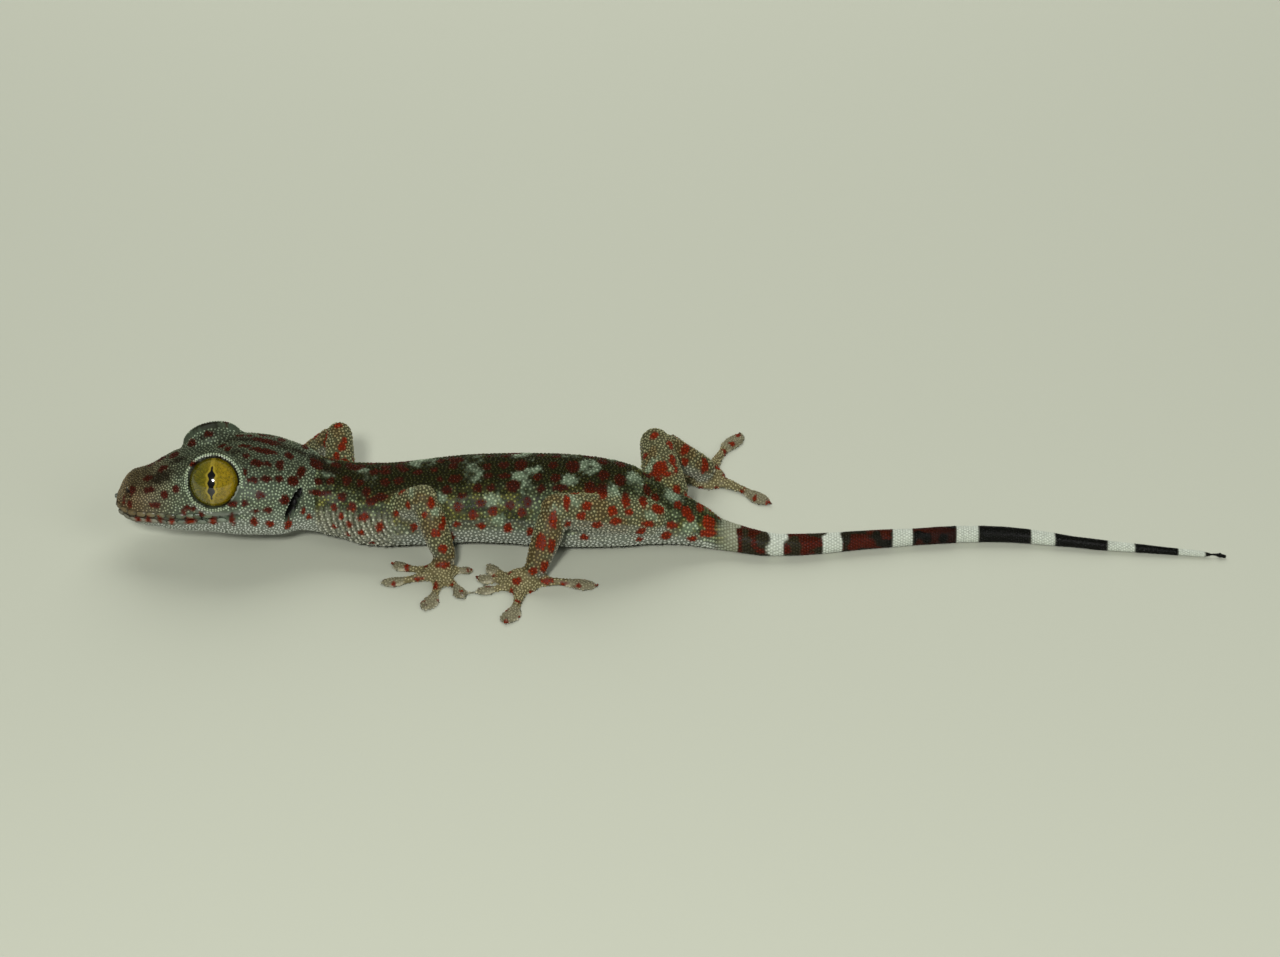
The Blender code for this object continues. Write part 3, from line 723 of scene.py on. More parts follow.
def cloudy(at, size):
    """Soft random shares through space, with clouds of about a size."""
    cell = np.floor(at / size)
    inside = at / size - cell
    inside = inside * inside * (3 - 2 * inside)
    total = np.zeros(len(at))
    for corner in np.ndindex(2, 2, 2):
        wild = np.sin((cell + corner) @ np.array([127.1, 311.7, 74.7])) * 43758.5453
        total += (wild - np.floor(wild)) * np.prod(np.where(corner, inside, 1 - inside), axis=1)
    return total


def toe_places():
    """Palm centre, heading, reach and pad breadth of each toe, foot by foot."""
    for name, (centre, toes) in FEET.items():
        palm = np.array([centre[0] - MIDDLE[0], centre[1] - MIDDLE[1], 0.0])
        for heading, reach in toes:
            turn = math.radians(heading)
            ahead = np.array([math.cos(turn), math.sin(turn), 0.0])
            yield name, palm, ahead, reach, min(0.4 + 0.1 * reach, 1.1)


def pad_cover(at):
    """Share of the pad at the end of each toe, and of its thin rim."""
    ratio = np.full(len(at), 9.0)
    for name, palm, ahead, reach, breadth in toe_places():
        away = at - palm - ahead * reach * 0.83
        along = away @ ahead / (0.2 * reach + 0.1)
        over = away @ np.array([-ahead[1], ahead[0], 0.0]) / breadth
        ratio = np.minimum(ratio, np.hypot(along, over))
    inside = 1.15 - ratio
    return soft_step(inside, 0, 0.25), soft_step(ratio, 0.7, 0.9) * soft_step(inside, 0, 0.15)


random = np.random.default_rng(7)
near_spots = spots_on_near_side(HEAD_SPOTS + BODY_SPOTS)
red_spots = near_spots + mirrored(near_spots, random) + spots_on_near_side(LIMB_SPOTS, 1.05)
is_limb = ~is_body & ~np.isin(skin_part, numbers("hand", "foot"))
unseen = ups @ np.array(TO_CAMERA) < 0.12
low = ups[:, 2] < -0.35
in_reach = (from_snout(places) < 60) & ~(low & is_body) & (is_body | is_limb)
bare = in_reach & (unseen | (is_limb & (ups[:, 2] > 0.2)))
red_spots += filled(red_spots, random, SPOT_SPACING, bare, SPOT_HALF)
palms = np.isin(skin_part, numbers("hand", "foot")) & (ups[:, 2] > 0.3)
red_spots += filled(red_spots, random, PALM_SPOT_SPACING, palms, PALM_SPOT_HALF)
pale_patches = spots_on_near_side(PALE_PATCHES, 1.15)
pale_patches += mirrored(pale_patches, random)
dark_streaks = spots_on_near_side(DARK_STREAKS)
dark_streaks += mirrored(dark_streaks, random)


def dark_rings(at):
    """Share of each place that lies in a dark ring of the tail, with wavy edges near its root."""
    x = from_snout(at)
    side = at[:, 1] - middle_side(at[:, 0])
    x = x + 0.25 * np.sin(side * 2.2 + x * 3.0) * soft_step(76 - x, 0, 8)
    dark = np.zeros(len(at))
    for start, end in RINGS:
        dark = np.maximum(dark, soft_step(x, start - 0.1, start + 0.1) * soft_step(end - x, -0.1, 0.1))
    return dark


def hide_tone(at, facing, part, limb, rise):
    """Colour of hide or scale at each place, with painted shade at a scale's root and highlight on its
    crown.
    """
    tone = np.zeros_like(at)

    def lay(share, name):
        nonlocal tone
        strength, *ends = TONES[name]
        root, crown = (np.array(colour(*paint)[:3]) for paint in ends)
        new = root + rise[:, None] * (crown - root)
        tone = tone + np.clip(share * strength, 0, 1)[:, None] * (new - tone)

    x = from_snout(at)
    body = np.isin(part, numbers(*body_parts))
    head = np.isin(part, numbers("head", "lower_jaw"))
    foot = np.isin(part, numbers("hand", "foot"))
    tail = soft_step(x, 57.0, 59.5) * body
    height = at[:, 2] - middle_height(at[:, 0])
    cloud = 0.65 * cloudy(at, CLOUDS[0]) + 0.35 * cloudy(at, CLOUDS[1])
    limb = np.clip(limb * 1.3 - 0.3, 0, 1)

    lay(np.ones(len(at)), "ground")
    lay(soft_step(cloud, 0.42, 0.62), "olive")
    flank = soft_step(height, -1.2, 0.4) * body * (1 - head) * (1 - limb)
    lay(flank * soft_step(cloudy(at, MOTTLE), 0.5, 0.62), "mottle")
    lay(head, "head")
    lay(head * soft_step(8 - x, 0, 6), "snout")
    # Where the back faces up it is darkened: partly its own dark colour, partly painted shade.
    lay(soft_step(facing[:, 2], 0.62, 1.0) * (height > 0) * body * (1 - 0.35 * head), "back")
    lay(limb * (1 - tail), "limb")
    lay(limb * soft_step(cloud, 0.45, 0.62), "ochre")
    lay(foot, "foot")
    pad, rim = pad_cover(at)
    lay(foot * pad, "pad")
    # The thin rim of each toe pad is paler: partly its own translucent edge, partly a painted highlight.
    lay(foot * rim * (at[:, 2] < 0.35), "pad_rim_glint")
    belly = soft_step(-facing[:, 2], -0.25, 0.5) * (1 - tail)
    lay(belly * (0.9 - 0.4 * limb), "belly")
    lay(cover_of(at, pale_patches, 0.4, 0.25) * (1 - tail) * soft_step(cloud, 0.25, 0.55), "pale")
    share, fold = neck_folds(at)
    # The neck folds are coloured pale along each crest and dark in each crease; the dark is painted
    # shade.
    lay(share * (1 - limb) * fold, "fold")
    lay(share * (1 - limb) * (1 - fold), "crease_shade")
    lay(cover_of(at, dark_streaks, 0.5, 0.2), "streak")

    dark = dark_rings(at)
    lay(tail * (1 - dark), "tail_pale")
    lay(tail * (1 - dark) * soft_step(x, 59.5, 63.5), "tail_white")
    lay(tail * dark, "tail_brown")
    lay(tail * dark * (0.4 + 0.6 * soft_step(x, 64, 78)), "tail_black")
    warm = tail * dark * soft_step(85 - x, 0, 16) * soft_step(cloudy(at, RING_CLOUDS), 0.45, 0.55)
    red = np.maximum(cover_of(at, red_spots, 0.14) * (1 - tail), warm)
    lay(red, "red")
    # Red spots where the back faces up are darkened further: painted shade.
    lay(red * soft_step(facing[:, 2], 0.5, 0.9) * (height > 0) * body, "shaded_back_red")
    lay(red * np.clip(soft_step(6.4 - at[:, 2], 0, 2.5) + limb, 0, 1) * (1 - tail), "bright_red")
    # Ear slit, nostril and the mouth line between the lips are painted near black: painted shade in these
    # hollows.
    openings = np.maximum(ear_distance(at) < 1.0, nostril_distance(at) < NOSTRIL_RADIUS) * head
    line = hill(above_mouth(at), 0.07) * head * (x < MOUTH_END - 0.3) * (np.abs(facing[:, 2]) < 0.9)
    lay(np.maximum(openings, line * 0.8), "opening_shade")
    # The skin in the hollow between each eyeball and its lid is darkened: painted shadow.
    for centre, way in eye_places.values():
        away = at - np.array(centre)
        near = (np.linalg.norm(away, axis=1) < EYE_RADIUS + 0.07) & (away @ np.array(way) > 0)
        lay(near, "lid_shadow")
    return tone


def put_tone(mesh, tone):
    """Writes a colour for each vertex as the attribute that the hide's materials read."""
    data = np.ones((len(tone), 4), dtype=np.float32)
    data[:, :3] = tone
    layer = mesh.attributes.new("tone", "FLOAT_COLOR", "POINT")
    layer.data.foreach_set("color", data.ravel())


def hide_material(name, gloss, grain_size, grain_depth):
    """Satin hide coloured by its own tone attribute, mottled and grained through space."""
    material, shader, wire = new_material(name, IOR=1.4, Specular_IOR_Level=0.22)
    tone = wire.node("ShaderNodeAttribute", {"attribute_name": "tone"})
    where = wire.node("ShaderNodeTexCoord", {}, {}, 3)
    mottle = wire.noise(where, 2600, 3.0)
    shade = 0.72 + mottle * 0.56
    grey = wire.node("ShaderNodeCombineColor", {}, {0: shade, 1: shade, 2: shade})
    mixed = wire.node("ShaderNodeMix", {"data_type": "RGBA", "blend_type": "MULTIPLY"},
                      {0: 1.0, 6: tone, 7: grey}, 2)
    feed(shader, "Base Color", mixed)
    feed(shader, "Roughness", gloss + wire.noise(where, 1300, 2.0) * 0.2)
    grain = wire.noise(where, grain_size, 3.0, 0.6)
    feed(shader, "Normal", wire.node("ShaderNodeBump", {}, {"Strength": 0.3, "Distance": grain_depth,
                                                            "Height": grain}))
    return material


# The skin between the scales takes the dark root colours: partly painted shade.
put_tone(skin.data, hide_tone(places, ups, skin_part, limb_share, np.full(count, 0.1)))
skin_material = hide_material("gecko_skin", 0.42, 5200, 0.00006)


# Flat pattern of the hide
# Each part of the body is laid out flat in a field of its own, along its length and round
# its girth, as a skin is pegged out. Scales keep the place of their root on it.

part_frames = {}
for number, name in enumerate(parts):
    own = places[skin_part == number]
    centre = own.mean(axis=0)
    spread = np.linalg.svd(own[::5] - centre, full_matrices=False)[2]
    if name in body_parts or name.endswith(("hand", "foot")):
        spread = np.eye(3)
    part_frames[number] = (centre, spread, own.min(axis=0), own.max(axis=0),
                           (own - centre) @ spread[0])


def lay_out(at, facing, number):
    """Length and girth of places on one part, each as a share of its field."""
    centre, spread, low, high, reach = part_frames[number]
    if parts[number].endswith(("hand", "foot")):
        flat = (at - low) / (high - low)
        return flat[:, 0], np.where(facing[:, 2] < 0, 0.49 * flat[:, 1], 0.51 + 0.49 * flat[:, 1])
    along = (at - centre) @ spread[0]
    if parts[number] in body_parts:
        side = at[:, 1] - middle_side(at[:, 0])
        up = at[:, 2] - middle_height(at[:, 0])
    else:
        side, up = (at - centre) @ spread[1], (at - centre) @ spread[2]
    girth = np.arctan2(side, up) / (2 * math.pi) + 0.5
    return (along - reach.min()) / (reach.max() - reach.min()), girth


def pegged(at, facing, part, fields):
    """Places on the flat pattern, with one field for each listed part."""
    rows = math.ceil(math.sqrt(len(fields)))
    flat = np.zeros((len(at), 2))
    for order, number in enumerate(fields):
        own = part == number
        if not own.any():
            continue
        along, girth = lay_out(at[own], facing[own], number)
        flat[own, 0] = (order % rows + 0.06 + 0.88 * np.clip(along, 0, 1)) / rows
        flat[own, 1] = (order // rows + 0.06 + 0.88 * girth) / rows
    return flat


corners = np.empty(len(skin.data.loops), dtype=np.int64)
skin.data.loops.foreach_get("vertex_index", corners)
corner_count = np.empty(len(skin.data.polygons), dtype=np.int64)
skin.data.polygons.foreach_get("loop_total", corner_count)
face_of = np.repeat(np.arange(len(corner_count)), corner_count)
face_middle = np.stack([np.bincount(face_of, places[corners, axis]) for axis in range(3)], axis=1)
face_middle /= corner_count[:, None]
face_up = np.stack([np.bincount(face_of, ups[corners, axis]) for axis in range(3)], axis=1)
first_corner = np.r_[0, np.cumsum(corner_count)[:-1]]
face_part = skin_part[corners[first_corner]]
fields = list(range(len(parts)))
rows = math.ceil(math.sqrt(len(fields)))
middle_flat = pegged(face_middle, face_up, face_part, fields)[face_of]
corner_flat = pegged(places[corners], face_up[face_of], face_part[face_of], fields)
round_turn = 0.88 / rows
wrap = corner_flat[:, 1] - middle_flat[:, 1]
corner_flat[:, 1] -= round_turn * np.where(np.abs(wrap) > round_turn / 2, np.sign(wrap), 0)
flat_map = skin.data.uv_layers.new(name="OFBake")
flat_map.data.foreach_set("uv", corner_flat.astype(np.float32).ravel())

skin.data.transform(Matrix.Scale(MM, 4))
skin.data.shade_smooth()
skin.data.materials.append(skin_material)
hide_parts(*parts)
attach(skin, "root")


# Granules
# The hide is paved with small domed scales, packed like pebbles and smallest on the face
# and feet. Larger pale knobs stand among them in rough rows along the back and legs.

PATCH = 0.003
GRANULE = {"head": 0.255, "lower_jaw": 0.26, "neck": 0.28, "torso": 0.3}
LIMB_GRANULE = 0.28
FOOT_GRANULE = 0.24
BELLY_GRANULE = 0.4
KNOB_SPACING = 1.5
KNOB_ROOM = 0.32
RINGED_FROM = 56.6
RINGED_TO = 106.2
TAIL_SCALE = 0.33
TAIL_TAPER = 0.10
LOWEST_SCALE = 0.01


def model_scale(name, sides, shoulder, crown, square=0.0):
    """One domed scale, 1 across each way from its middle: its vertices and faces."""
    bpy.ops.object.select_all(action="DESELECT")
    bpy.ops.mesh.primitive_cone_add(vertices=sides, radius1=1.0, radius2=shoulder, depth=1.0,
                                    location=(0, 0, 0.1), end_fill_type="TRIFAN")
    scale = bpy.context.active_object
    scale.name = name
    bpy.ops.object.transform_apply(location=True, rotation=True, scale=True)
    bpy.ops.object.mode_set(mode="EDIT")
    bpy.ops.mesh.select_all(action="DESELECT")
    bpy.ops.object.mode_set(mode="OBJECT")
    for vertex in scale.data.vertices:
        vertex.select = vertex.co.z > 0.5 and vertex.co.xy.length < 0.1
    bpy.ops.object.mode_set(mode="EDIT")
    bpy.ops.transform.translate(value=(0, 0, crown))
    bpy.ops.mesh.select_all(action="SELECT")
    bpy.ops.mesh.normals_make_consistent(inside=False)
    bpy.ops.object.mode_set(mode="OBJECT")
    points = read_places(scale.data)
    flat = unit(points[:, :2] + 1e-9)
    points[:, :2] *= 1 + square * ((flat ** 4).sum(axis=1, keepdims=True) ** -0.25 - 1)
    shape = (points, [tuple(face.vertices) for face in scale.data.polygons])
    bpy.data.objects.remove(scale)
    return shape


def at_skin(values, roots):
    """Values of the skin where roots stand on it."""
    faces = [hide.find_nearest(Vector(root))[2] for root in roots]
    return values[corners[first_corner[faces]]]


def coat(name, shape, roots, facing, along, sizes, part, material, lift=0.0):
    """One mesh of many scales: half length, half width and height for each root."""
    points, faces = shape
    over = np.cross(facing, along)
    spread = (roots[:, None] + along[:, None] * (points[None, :, 0:1] * sizes[:, None, 0:1])
              + over[:, None] * (points[None, :, 1:2] * sizes[:, None, 1:2])
              + facing[:, None] * (points[None, :, 2:3] * sizes[:, None, 2:3]))
    spread = spread.reshape(-1, 3)
    spread[:, 2] = np.maximum(spread[:, 2], LOWEST_SCALE)
    mesh = bpy.data.meshes.new(name)
    mesh.vertices.add(len(spread))
    mesh.vertices.foreach_set("co", (spread * MM).astype(np.float32).ravel())
    sides = np.array([len(face) for face in faces])
    pattern = np.concatenate([np.array(face) for face in faces])
    loops = (pattern[None] + np.arange(len(roots))[:, None] * len(points)).ravel()
    mesh.loops.add(len(loops))
    mesh.loops.foreach_set("vertex_index", loops)
    totals = np.tile(sides, len(roots))
    mesh.polygons.add(len(totals))
    mesh.polygons.foreach_set("loop_start", np.r_[0, np.cumsum(totals)[:-1]])
    mesh.update(calc_edges=True)
    mesh.validate()
    fields = sorted(set(part.tolist()))
    flat = pegged(roots, facing, part, fields)[:, None] + points[None, :, :2] * PATCH / 2
    flat_map = mesh.uv_layers.new(name="OFBake")
    flat_map.data.foreach_set("uv", flat.reshape(-1, 2)[loops].astype(np.float32).ravel())
    # Each scale pales from its root to its crown: its own colour with painted shade and painted
    # highlight.
    rise = np.tile(np.clip(points[:, 2] * 0.75 + 0.1, 0, 1), len(roots))
    rise = rise * np.repeat(random.uniform(0.75, 1.1, len(roots)), len(points)) + lift

    def each(values):
        return np.repeat(values, len(points), axis=0)

    put_tone(mesh, hide_tone(spread, each(facing), each(part), each(at_skin(limb_share, roots)), rise))
    mesh.shade_smooth()
    mesh.materials.append(material)
    piece = bpy.data.objects.new(name, mesh)
    bpy.context.collection.objects.link(piece)
    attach(piece, "root")
    print(name, len(roots), "scales", len(roots) * (pattern.size - 2 * len(sides)), "triangles")


def scatter(candidates, spacing, taken=()):
    """Numbers of candidates picked so that each keeps its own spacing from all others."""
    size = spacing.max()
    cells = {}
    for place, room in taken:
        cells.setdefault(tuple((place // size).astype(int)), []).append((*place, room))
    keys = (candidates // size).astype(int)
    around = [(i, j, k) for i in (-1, 0, 1) for j in (-1, 0, 1) for k in (-1, 0, 1)]
    picked = []
    for number in random.permutation(len(candidates)):
        x, y, z = candidates[number]
        own = spacing[number]
        i, j, k = keys[number]
        free = True
        for di, dj, dk in around:
            for px, py, pz, room in cells.get((i + di, j + dj, k + dk), ()):
                limit = max(own, room)
                if (px - x) ** 2 + (py - y) ** 2 + (pz - z) ** 2 < limit * limit:
                    free = False
                    break
            if not free:
                break
        if free:
            picked.append(number)
            cells.setdefault((i, j, k), []).append((x, y, z, own))
    return np.array(picked)


def settle(roots, spacing, rounds):
    """Moves roots apart a little and back onto the hide, so that they pack evenly."""
    facing = np.zeros_like(roots)
    for turn in range(rounds + 1):
        if turn < rounds:
            tree = KDTree(len(roots))
            for number, root in enumerate(roots):
                tree.insert(root, number)
            tree.balance()
            moved = roots.copy()
            for number, root in enumerate(roots):
                for near, other, gap in tree.find_n(root, 7)[1:]:
                    if gap < spacing[number] * 1.25:
                        push = (spacing[number] * 1.25 - gap) * 0.22 / max(gap, 1e-3)
                        moved[number] += (root - np.array(near)) * push
            roots = moved
        for number, root in enumerate(roots):
            place, normal, face, far = hide.find_nearest(Vector(root))
            roots[number] = place
            facing[number] = normal
    return roots, facing


def tailward(roots, facing):
    """Way along the hide toward the tail at each root."""
    flow = np.tile(np.array([1.0, 0.0, 0.0]), (len(roots), 1))
    flow = flow - facing * (flow * facing).sum(axis=1, keepdims=True)
    weak = np.linalg.norm(flow, axis=1) < 0.2
    flow[weak] = np.cross(facing[weak], (0, 1, 0))
    return unit(flow)


def rim_distances(at, centre, way):
    """Distance of places from an eye's axis, and how far they stand in front of its centre."""
    away = at - np.array(centre)
    ahead = away @ np.array(way)
    return np.linalg.norm(away - ahead[:, None] * np.array(way), axis=1), ahead


scale_material = hide_material("gecko_scales", 0.16, 7000, 0.00003)

candidates = np.concatenate([places, face_middle])
candidate_part = np.concatenate([skin_part, face_part])
candidate_up = np.concatenate([ups, unit(face_up)])
spacing = np.full(len(candidates), LIMB_GRANULE)
for number, name in enumerate(parts):
    own = candidate_part == number
    if name in GRANULE:
        spacing[own] = GRANULE[name]
    if name.endswith(("hand", "foot")):
        spacing[own] = FOOT_GRANULE
under = soft_step(-candidate_up[:, 2], 0.4, 0.8) * np.isin(candidate_part, numbers("torso", "tail_1"))
spacing += (BELLY_GRANULE - spacing) * under
spacing -= 0.05 * soft_step(9 - from_snout(candidates), 0, 6)
on_head = np.isin(candidate_part, numbers("head", "lower_jaw"))
on_tail = np.isin(candidate_part, numbers("tail_1", "tail_2", "tail_3", "tail_4"))
usable = (candidates[:, 2] > 0.12) & ~(on_tail & (from_snout(candidates) > RINGED_FROM))
for centre, way in eye_places.values():
    out, ahead = rim_distances(candidates, centre, way)
    usable &= ~((out < 2.9) & (ahead > 0.4))
in_opening = (ear_distance(candidates) < 1.1) | (nostril_distance(candidates) < NOSTRIL_RADIUS + 0.05)
on_lips = ((np.abs(above_mouth(candidates)) < 0.68) & (np.abs(candidate_up[:, 2]) < 0.9)
           & (from_snout(candidates) < MOUTH_END - 0.3))
usable &= ~(on_head & (in_opening | on_lips))
candidates, candidate_part, spacing = candidates[usable], candidate_part[usable], spacing[usable]
candidate_up = candidate_up[usable]

knobby = np.isin(candidate_part, numbers("torso", "neck", "arm", "thigh", "shin"))
knob_pool = np.flatnonzero(knobby & (candidate_up[:, 2] > -0.1))
knobs = knob_pool[scatter(candidates[knob_pool], np.full(len(knob_pool), KNOB_SPACING))]
knob_roots, knob_part = candidates[knobs], candidate_part[knobs]
granules = scatter(candidates, spacing, [(root, KNOB_ROOM) for root in knob_roots])
roots, facing = settle(candidates[granules], spacing[granules], 2)
root_part = candidate_part[granules]
root_spacing = spacing[granules]
along = tailward(roots, facing)
spin = random.uniform(0, math.pi, len(roots))[:, None]
along = unit(along * np.cos(spin) + np.cross(facing, along) * np.sin(spin))
size = root_spacing * random.uniform(0.50, 0.58, len(roots))
tall = root_spacing * random.uniform(0.26, 0.36, len(roots))
sizes = np.stack([size, size * 0.94, tall], axis=1)
pebble = model_scale("granule", 6, 0.72, 0.22)
GROUPS = {
    "head_granules": (["head"], "skin"),
    "jaw_neck_granules": (["lower_jaw", "neck"], "skin"),
    "torso_granules": (["torso"], "skin"),
    "tail_root_granules": (["tail_1"], "tail_skin"),
    "arm_granules": (["arm"], "limb_skin"),
    "leg_granules": (["thigh", "shin"], "limb_skin"),
    "hand_scales": (["hand"], "toe_skin"),
    "foot_scales": (["foot"], "toe_skin"),
}
for name, (group, slot) in GROUPS.items():
    own = np.isin(root_part, numbers(*group))
    coat(name, pebble, roots[own], facing[own], along[own], sizes[own], root_part[own],
         scale_material)

knob_shape = model_scale("knob", 8, 0.62, 0.3)
knob_roots, knob_facing = settle(knob_roots, np.full(len(knobs), 0.1), 0)
knob_size = random.uniform(0.18, 0.24, len(knobs))
knob_sizes = np.stack([knob_size, knob_size * 0.92, knob_size * 0.6], axis=1)
coat("knobs", knob_shape, knob_roots, knob_facing, tailward(knob_roots, knob_facing), knob_sizes,
     knob_part, scale_material, 0.12)

tail_roots, tail_sizes = [], []
x = RINGED_FROM
row = 0
while x < RINGED_TO:
    pitch = TAIL_SCALE - TAIL_TAPER * (x - RINGED_FROM) / 50
    axis = Vector((x - MIDDLE[0], middle_side(x - MIDDLE[0]), middle_height(x - MIDDLE[0])))
    reach = hide.ray_cast(axis, Vector((0, 0, 1)))[3] or 0.3
    around = max(8, round(2 * math.pi * reach / pitch))
    for step in range(around):
        turn = 2 * math.pi * (step + 0.5 * (row % 2)) / around
        place = hide.ray_cast(axis, Vector((0, math.sin(turn), math.cos(turn))))[0]
        if place is not None and place.z > 0.1:
            tail_roots.append(np.array(place))
            tail_sizes.append(pitch)
    x += pitch * 0.86
    row += 1
tail_roots, tail_facing = settle(np.array(tail_roots), np.array(tail_sizes), 0)
tail_sizes = np.array(tail_sizes)
tail_sizes = np.stack([tail_sizes * 0.56, tail_sizes * 0.52, tail_sizes * 0.26], axis=1)
coat("tail_scales", pebble, tail_roots, tail_facing, tailward(tail_roots, tail_facing), tail_sizes,
     part_of(tail_roots), scale_material)


# Lips and lids
# Each lip carries one row of smooth oblong plates that meet along the mouth. Two rings of
# tiny pale scales edge the fixed lid round each eye.

LIP_RISE = 0.37
LIP_PLATE = (0.98, 0.5, 0.05)
LID_ROWS = ((2.47, 1.12, 60, 0.125), (2.74, 1.2, 66, 0.13))
LID_CREST = (2.64, 0.92)
STEPS_TO_CORNER = 13


def along_lip(rise, step):
    """Places, facings and ways along one lip, from the snout back to both corners."""
    front = Vector((-MIDDLE[0] - 5, middle_side(-MIDDLE[0]), MOUTH_Z[0] + rise))
    start = hide.ray_cast(front, Vector((1, 0, 0)))[0]
    rows = [(start, Vector((-1, 0, 0)), Vector((0, 1, 0)))]
    for side in (-1, 1):
        place, outward = start, Vector((-1, 0, 0))
        for number in range(STEPS_TO_CORNER):
            guess = place - outward.cross(Vector((0, 0, side))) * step
            guess.z = float(np.interp(guess.x + MIDDLE[0], MOUTH_X, MOUTH_Z)) + rise
            normal = hide.find_nearest(guess)[1]
            outward = Vector((normal.x, normal.y, 0)).normalized()
            place = hide.ray_cast(guess + outward * 3, -outward)[0] or hide.find_nearest(guess)[0]
            if place.x + MIDDLE[0] < MOUTH_END - 0.5:
                facing = (outward + Vector((0, 0, 0.25 if rise > 0 else -0.1))).normalized()
                rows.append((place, facing, outward.cross(Vector((0, 0, side)))))
    return [np.array([np.array(row[column]) for row in rows]) for column in range(3)]


plate_shape = model_scale("lip_plate", 12, 0.86, 0.08, 1.0)
for name, rise in (("upper_lip_plates", LIP_RISE), ("lower_lip_plates", -LIP_RISE)):
    lip_roots, lip_facing, lip_along = along_lip(rise, LIP_PLATE[0])
    lip_sizes = np.tile(np.array(LIP_PLATE) * (0.49, 0.52, 1.0), (len(lip_roots), 1))
    coat(name, plate_shape, lip_roots, lip_facing, lip_along, lip_sizes, part_of(lip_roots),
         scale_material, -0.3)

for name, (centre, way) in eye_places.items():
    level = way.cross(Vector((0, 0, 1))).normalized()
    upright = level.cross(way)
    lid_roots, lid_facing, lid_along, lid_sizes = [], [], [], []
    for out, ahead, number, size in LID_ROWS:
        for step in range(number):
            turn = 2 * math.pi * (step + 0.5 * (size > 0.125)) / number
            spoke = level * math.cos(turn) + upright * math.sin(turn)
            lid_roots.append(hide.find_nearest(centre + spoke * out + way * ahead)[0])
            leaning = spoke * (out - LID_CREST[0]) + way * (ahead - LID_CREST[1])
            lid_facing.append(leaning.normalized())
            lid_along.append(way.cross(spoke))
            lid_sizes.append((size, size * 1.05, size * 0.7))
    lid_roots = np.array(lid_roots)
    coat(name.replace("eye", "lid_scales"), pebble, lid_roots, np.array(lid_facing),
         np.array(lid_along), np.array(lid_sizes), part_of(lid_roots), scale_material, 0.2)


# Toes
# A short hook of horn leaves the end of each toe above its pad. Under the pad lie broad
# thin plates, one behind another, with which the animal clings.

CLAW_LENGTH = 0.56
CLAW_RADIUS = 0.15
CLAW_ROOT = (0.3, 0.47)
CLAW_STEPS = 5
CLAW_TAPER = 0.74
PAD_PLATES = 8
PAD_WIDTH = ([0.62, 0.74, 0.86, 0.95, 1.0], [0.45, 0.8, 0.86, 0.62, 0.3])

claw_material, shader, wire = new_material("claw_horn", Roughness=0.3, IOR=1.5)
where = wire.node("ShaderNodeTexCoord", {}, {}, 3)
streak = wire.noise(where, 6000, 3.0)
feed(shader, "Base Color", streak.blend(colour(40, 34, 24), colour(104, 92, 70)))

bpy.ops.object.select_all(action="DESELECT")
bpy.ops.mesh.primitive_circle_add(vertices=8, radius=CLAW_RADIUS, fill_type="NGON")
hook = bpy.context.active_object
bpy.ops.object.mode_set(mode="EDIT")
bpy.ops.mesh.select_mode(type="FACE")
bpy.ops.mesh.select_all(action="SELECT")
for step in range(CLAW_STEPS):
    drop = -0.02 * (step + 1)
    way_out = (0, drop, CLAW_LENGTH / CLAW_STEPS)
    bpy.ops.mesh.extrude_region_move(TRANSFORM_OT_translate={"value": way_out})
    bpy.ops.transform.resize(value=(CLAW_TAPER, CLAW_TAPER, CLAW_TAPER))
bpy.ops.mesh.select_all(action="SELECT")
bpy.ops.mesh.normals_make_consistent(inside=False)
bpy.ops.object.mode_set(mode="OBJECT")
hook_mesh = hook.data.copy()
bpy.data.objects.remove(hook)

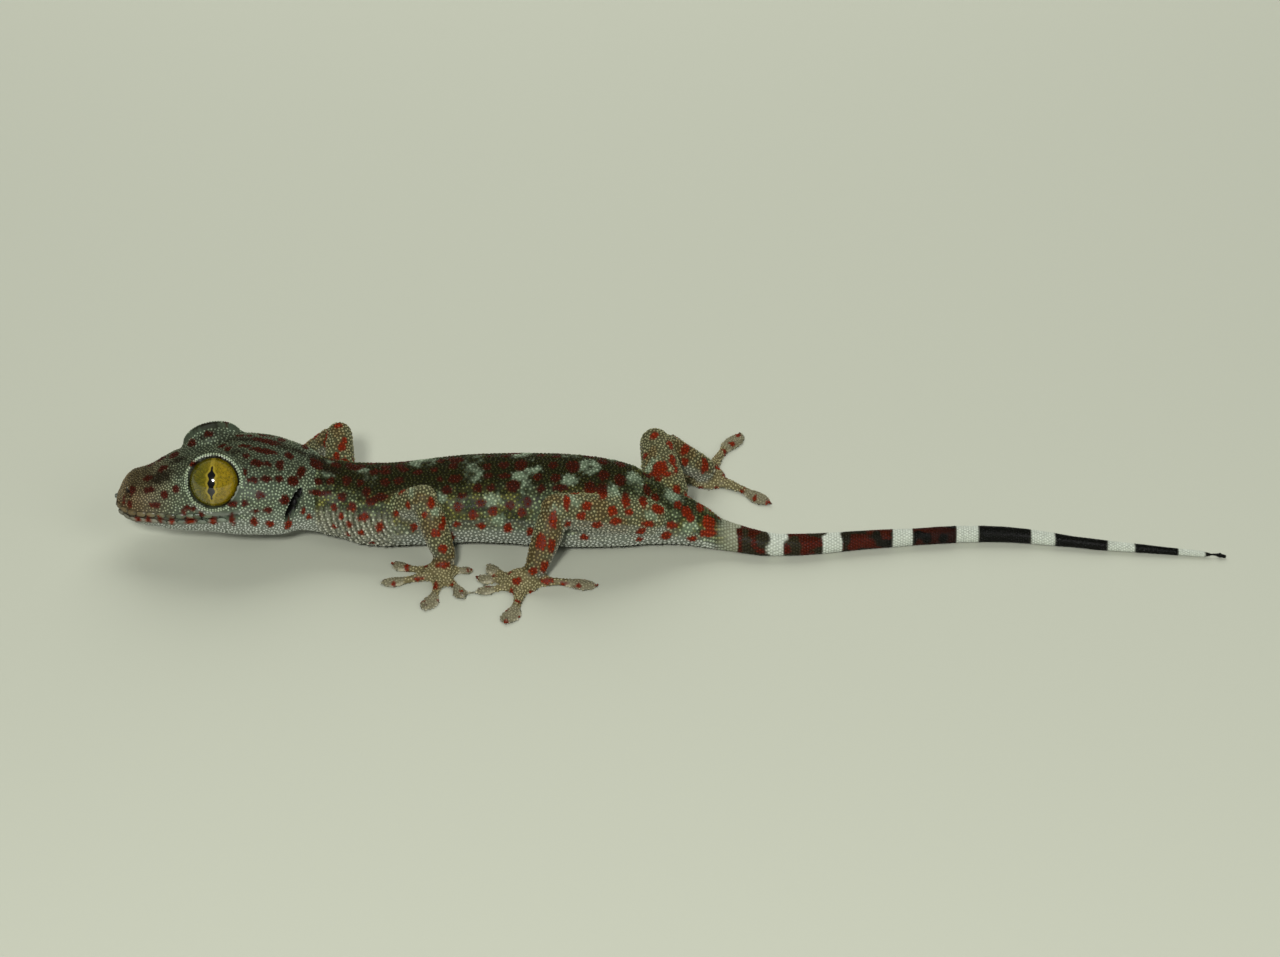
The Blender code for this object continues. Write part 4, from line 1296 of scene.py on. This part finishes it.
claws = {name: [] for name in FEET}
pad_roots, pad_along, pad_sizes = [], [], []
for name, palm, ahead, reach, breadth in toe_places():
    aim = Vector(ahead - (0, 0, 0.25)).normalized()
    root = Vector(palm + ahead * (reach - CLAW_ROOT[0]) + (0, 0, CLAW_ROOT[1]))
    level = Vector((0, 0, 1)).cross(aim).normalized()
    turn = Matrix((level, aim.cross(level), aim)).transposed()
    claw = bpy.data.objects.new(name + "_claw", hook_mesh.copy())
    claw.data.transform(Matrix.Scale(MM, 4) @ Matrix.Translation(root) @ turn.to_4x4())
    bpy.context.collection.objects.link(claw)
    claws[name].append(claw)
    beside = np.array([-ahead[1], ahead[0], 0.0])
    for step in range(PAD_PLATES):
        share = 0.66 + 0.3 * step / (PAD_PLATES - 1)
        bow = beside * 0.05 * reach * math.sin(math.pi * share)
        pad_roots.append(palm + ahead * share * reach + bow + (0, 0, 0.05))
        pad_along.append(beside)
        pad_sizes.append((np.interp(share, *PAD_WIDTH) * breadth * 0.85, 0.024 * reach, 0.045))
for name, group in claws.items():
    claw = joined(group, name + "_claws")
    claw.data.shade_smooth()
    claw.data.materials.append(claw_material)
    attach(claw, "root")
pad_roots = np.array(pad_roots)
pad_facing = np.tile(np.array([0.0, 0.0, -1.0]), (len(pad_roots), 1))
coat("toe_pad_plates", plate_shape, pad_roots, pad_facing, np.array(pad_along), np.array(pad_sizes),
     part_of(pad_roots), scale_material)


# Floor and light
# A plain pale ground under two soft lamps, with a small flash near the camera that leaves
# glints on the eye and the scales.

FLOOR_SIZE = 3.0
FLOOR_GREY = (172, 175, 158)
ROOM_LIGHT = (0.95, 1.0, 0.96, 1.0)
ROOM_STRENGTH = 0.12
AIM = Vector((-0.005, 0, 0.004))

bpy.ops.object.select_all(action="DESELECT")
bpy.ops.mesh.primitive_plane_add(size=FLOOR_SIZE)
floor = bpy.context.active_object
floor.name = "floor"
floor_material, shader, wire = new_material("floor", Roughness=0.6)
shader.inputs["Base Color"].default_value = colour(*FLOOR_GREY)
floor.data.materials.append(floor_material)

world = bpy.data.worlds.new("studio")
bpy.context.scene.world = world
world.use_nodes = True
world.node_tree.nodes["Background"].inputs["Color"].default_value = ROOM_LIGHT
world.node_tree.nodes["Background"].inputs["Strength"].default_value = ROOM_STRENGTH


def lamp(name, place, size, power, glints):
    """Square lamp of a size in metres that faces the animal, with or without glints."""
    light = bpy.data.lights.new(name, "AREA")
    light.size = size
    light.energy = power
    piece = bpy.data.objects.new(name, light)
    piece.location = place
    piece.visible_glossy = glints
    piece.rotation_euler = (AIM - Vector(place)).to_track_quat("-Z", "Y").to_euler()
    bpy.context.collection.objects.link(piece)


lamp("flash", (-0.06, -0.37, 0.27), 0.05, 2.0, True)
lamp("fill", (0.30, -0.30, 0.30), 0.30, 0.8, False)
lamp("top", (-0.02, 0.30, 0.26), 0.4, 1.6, False)
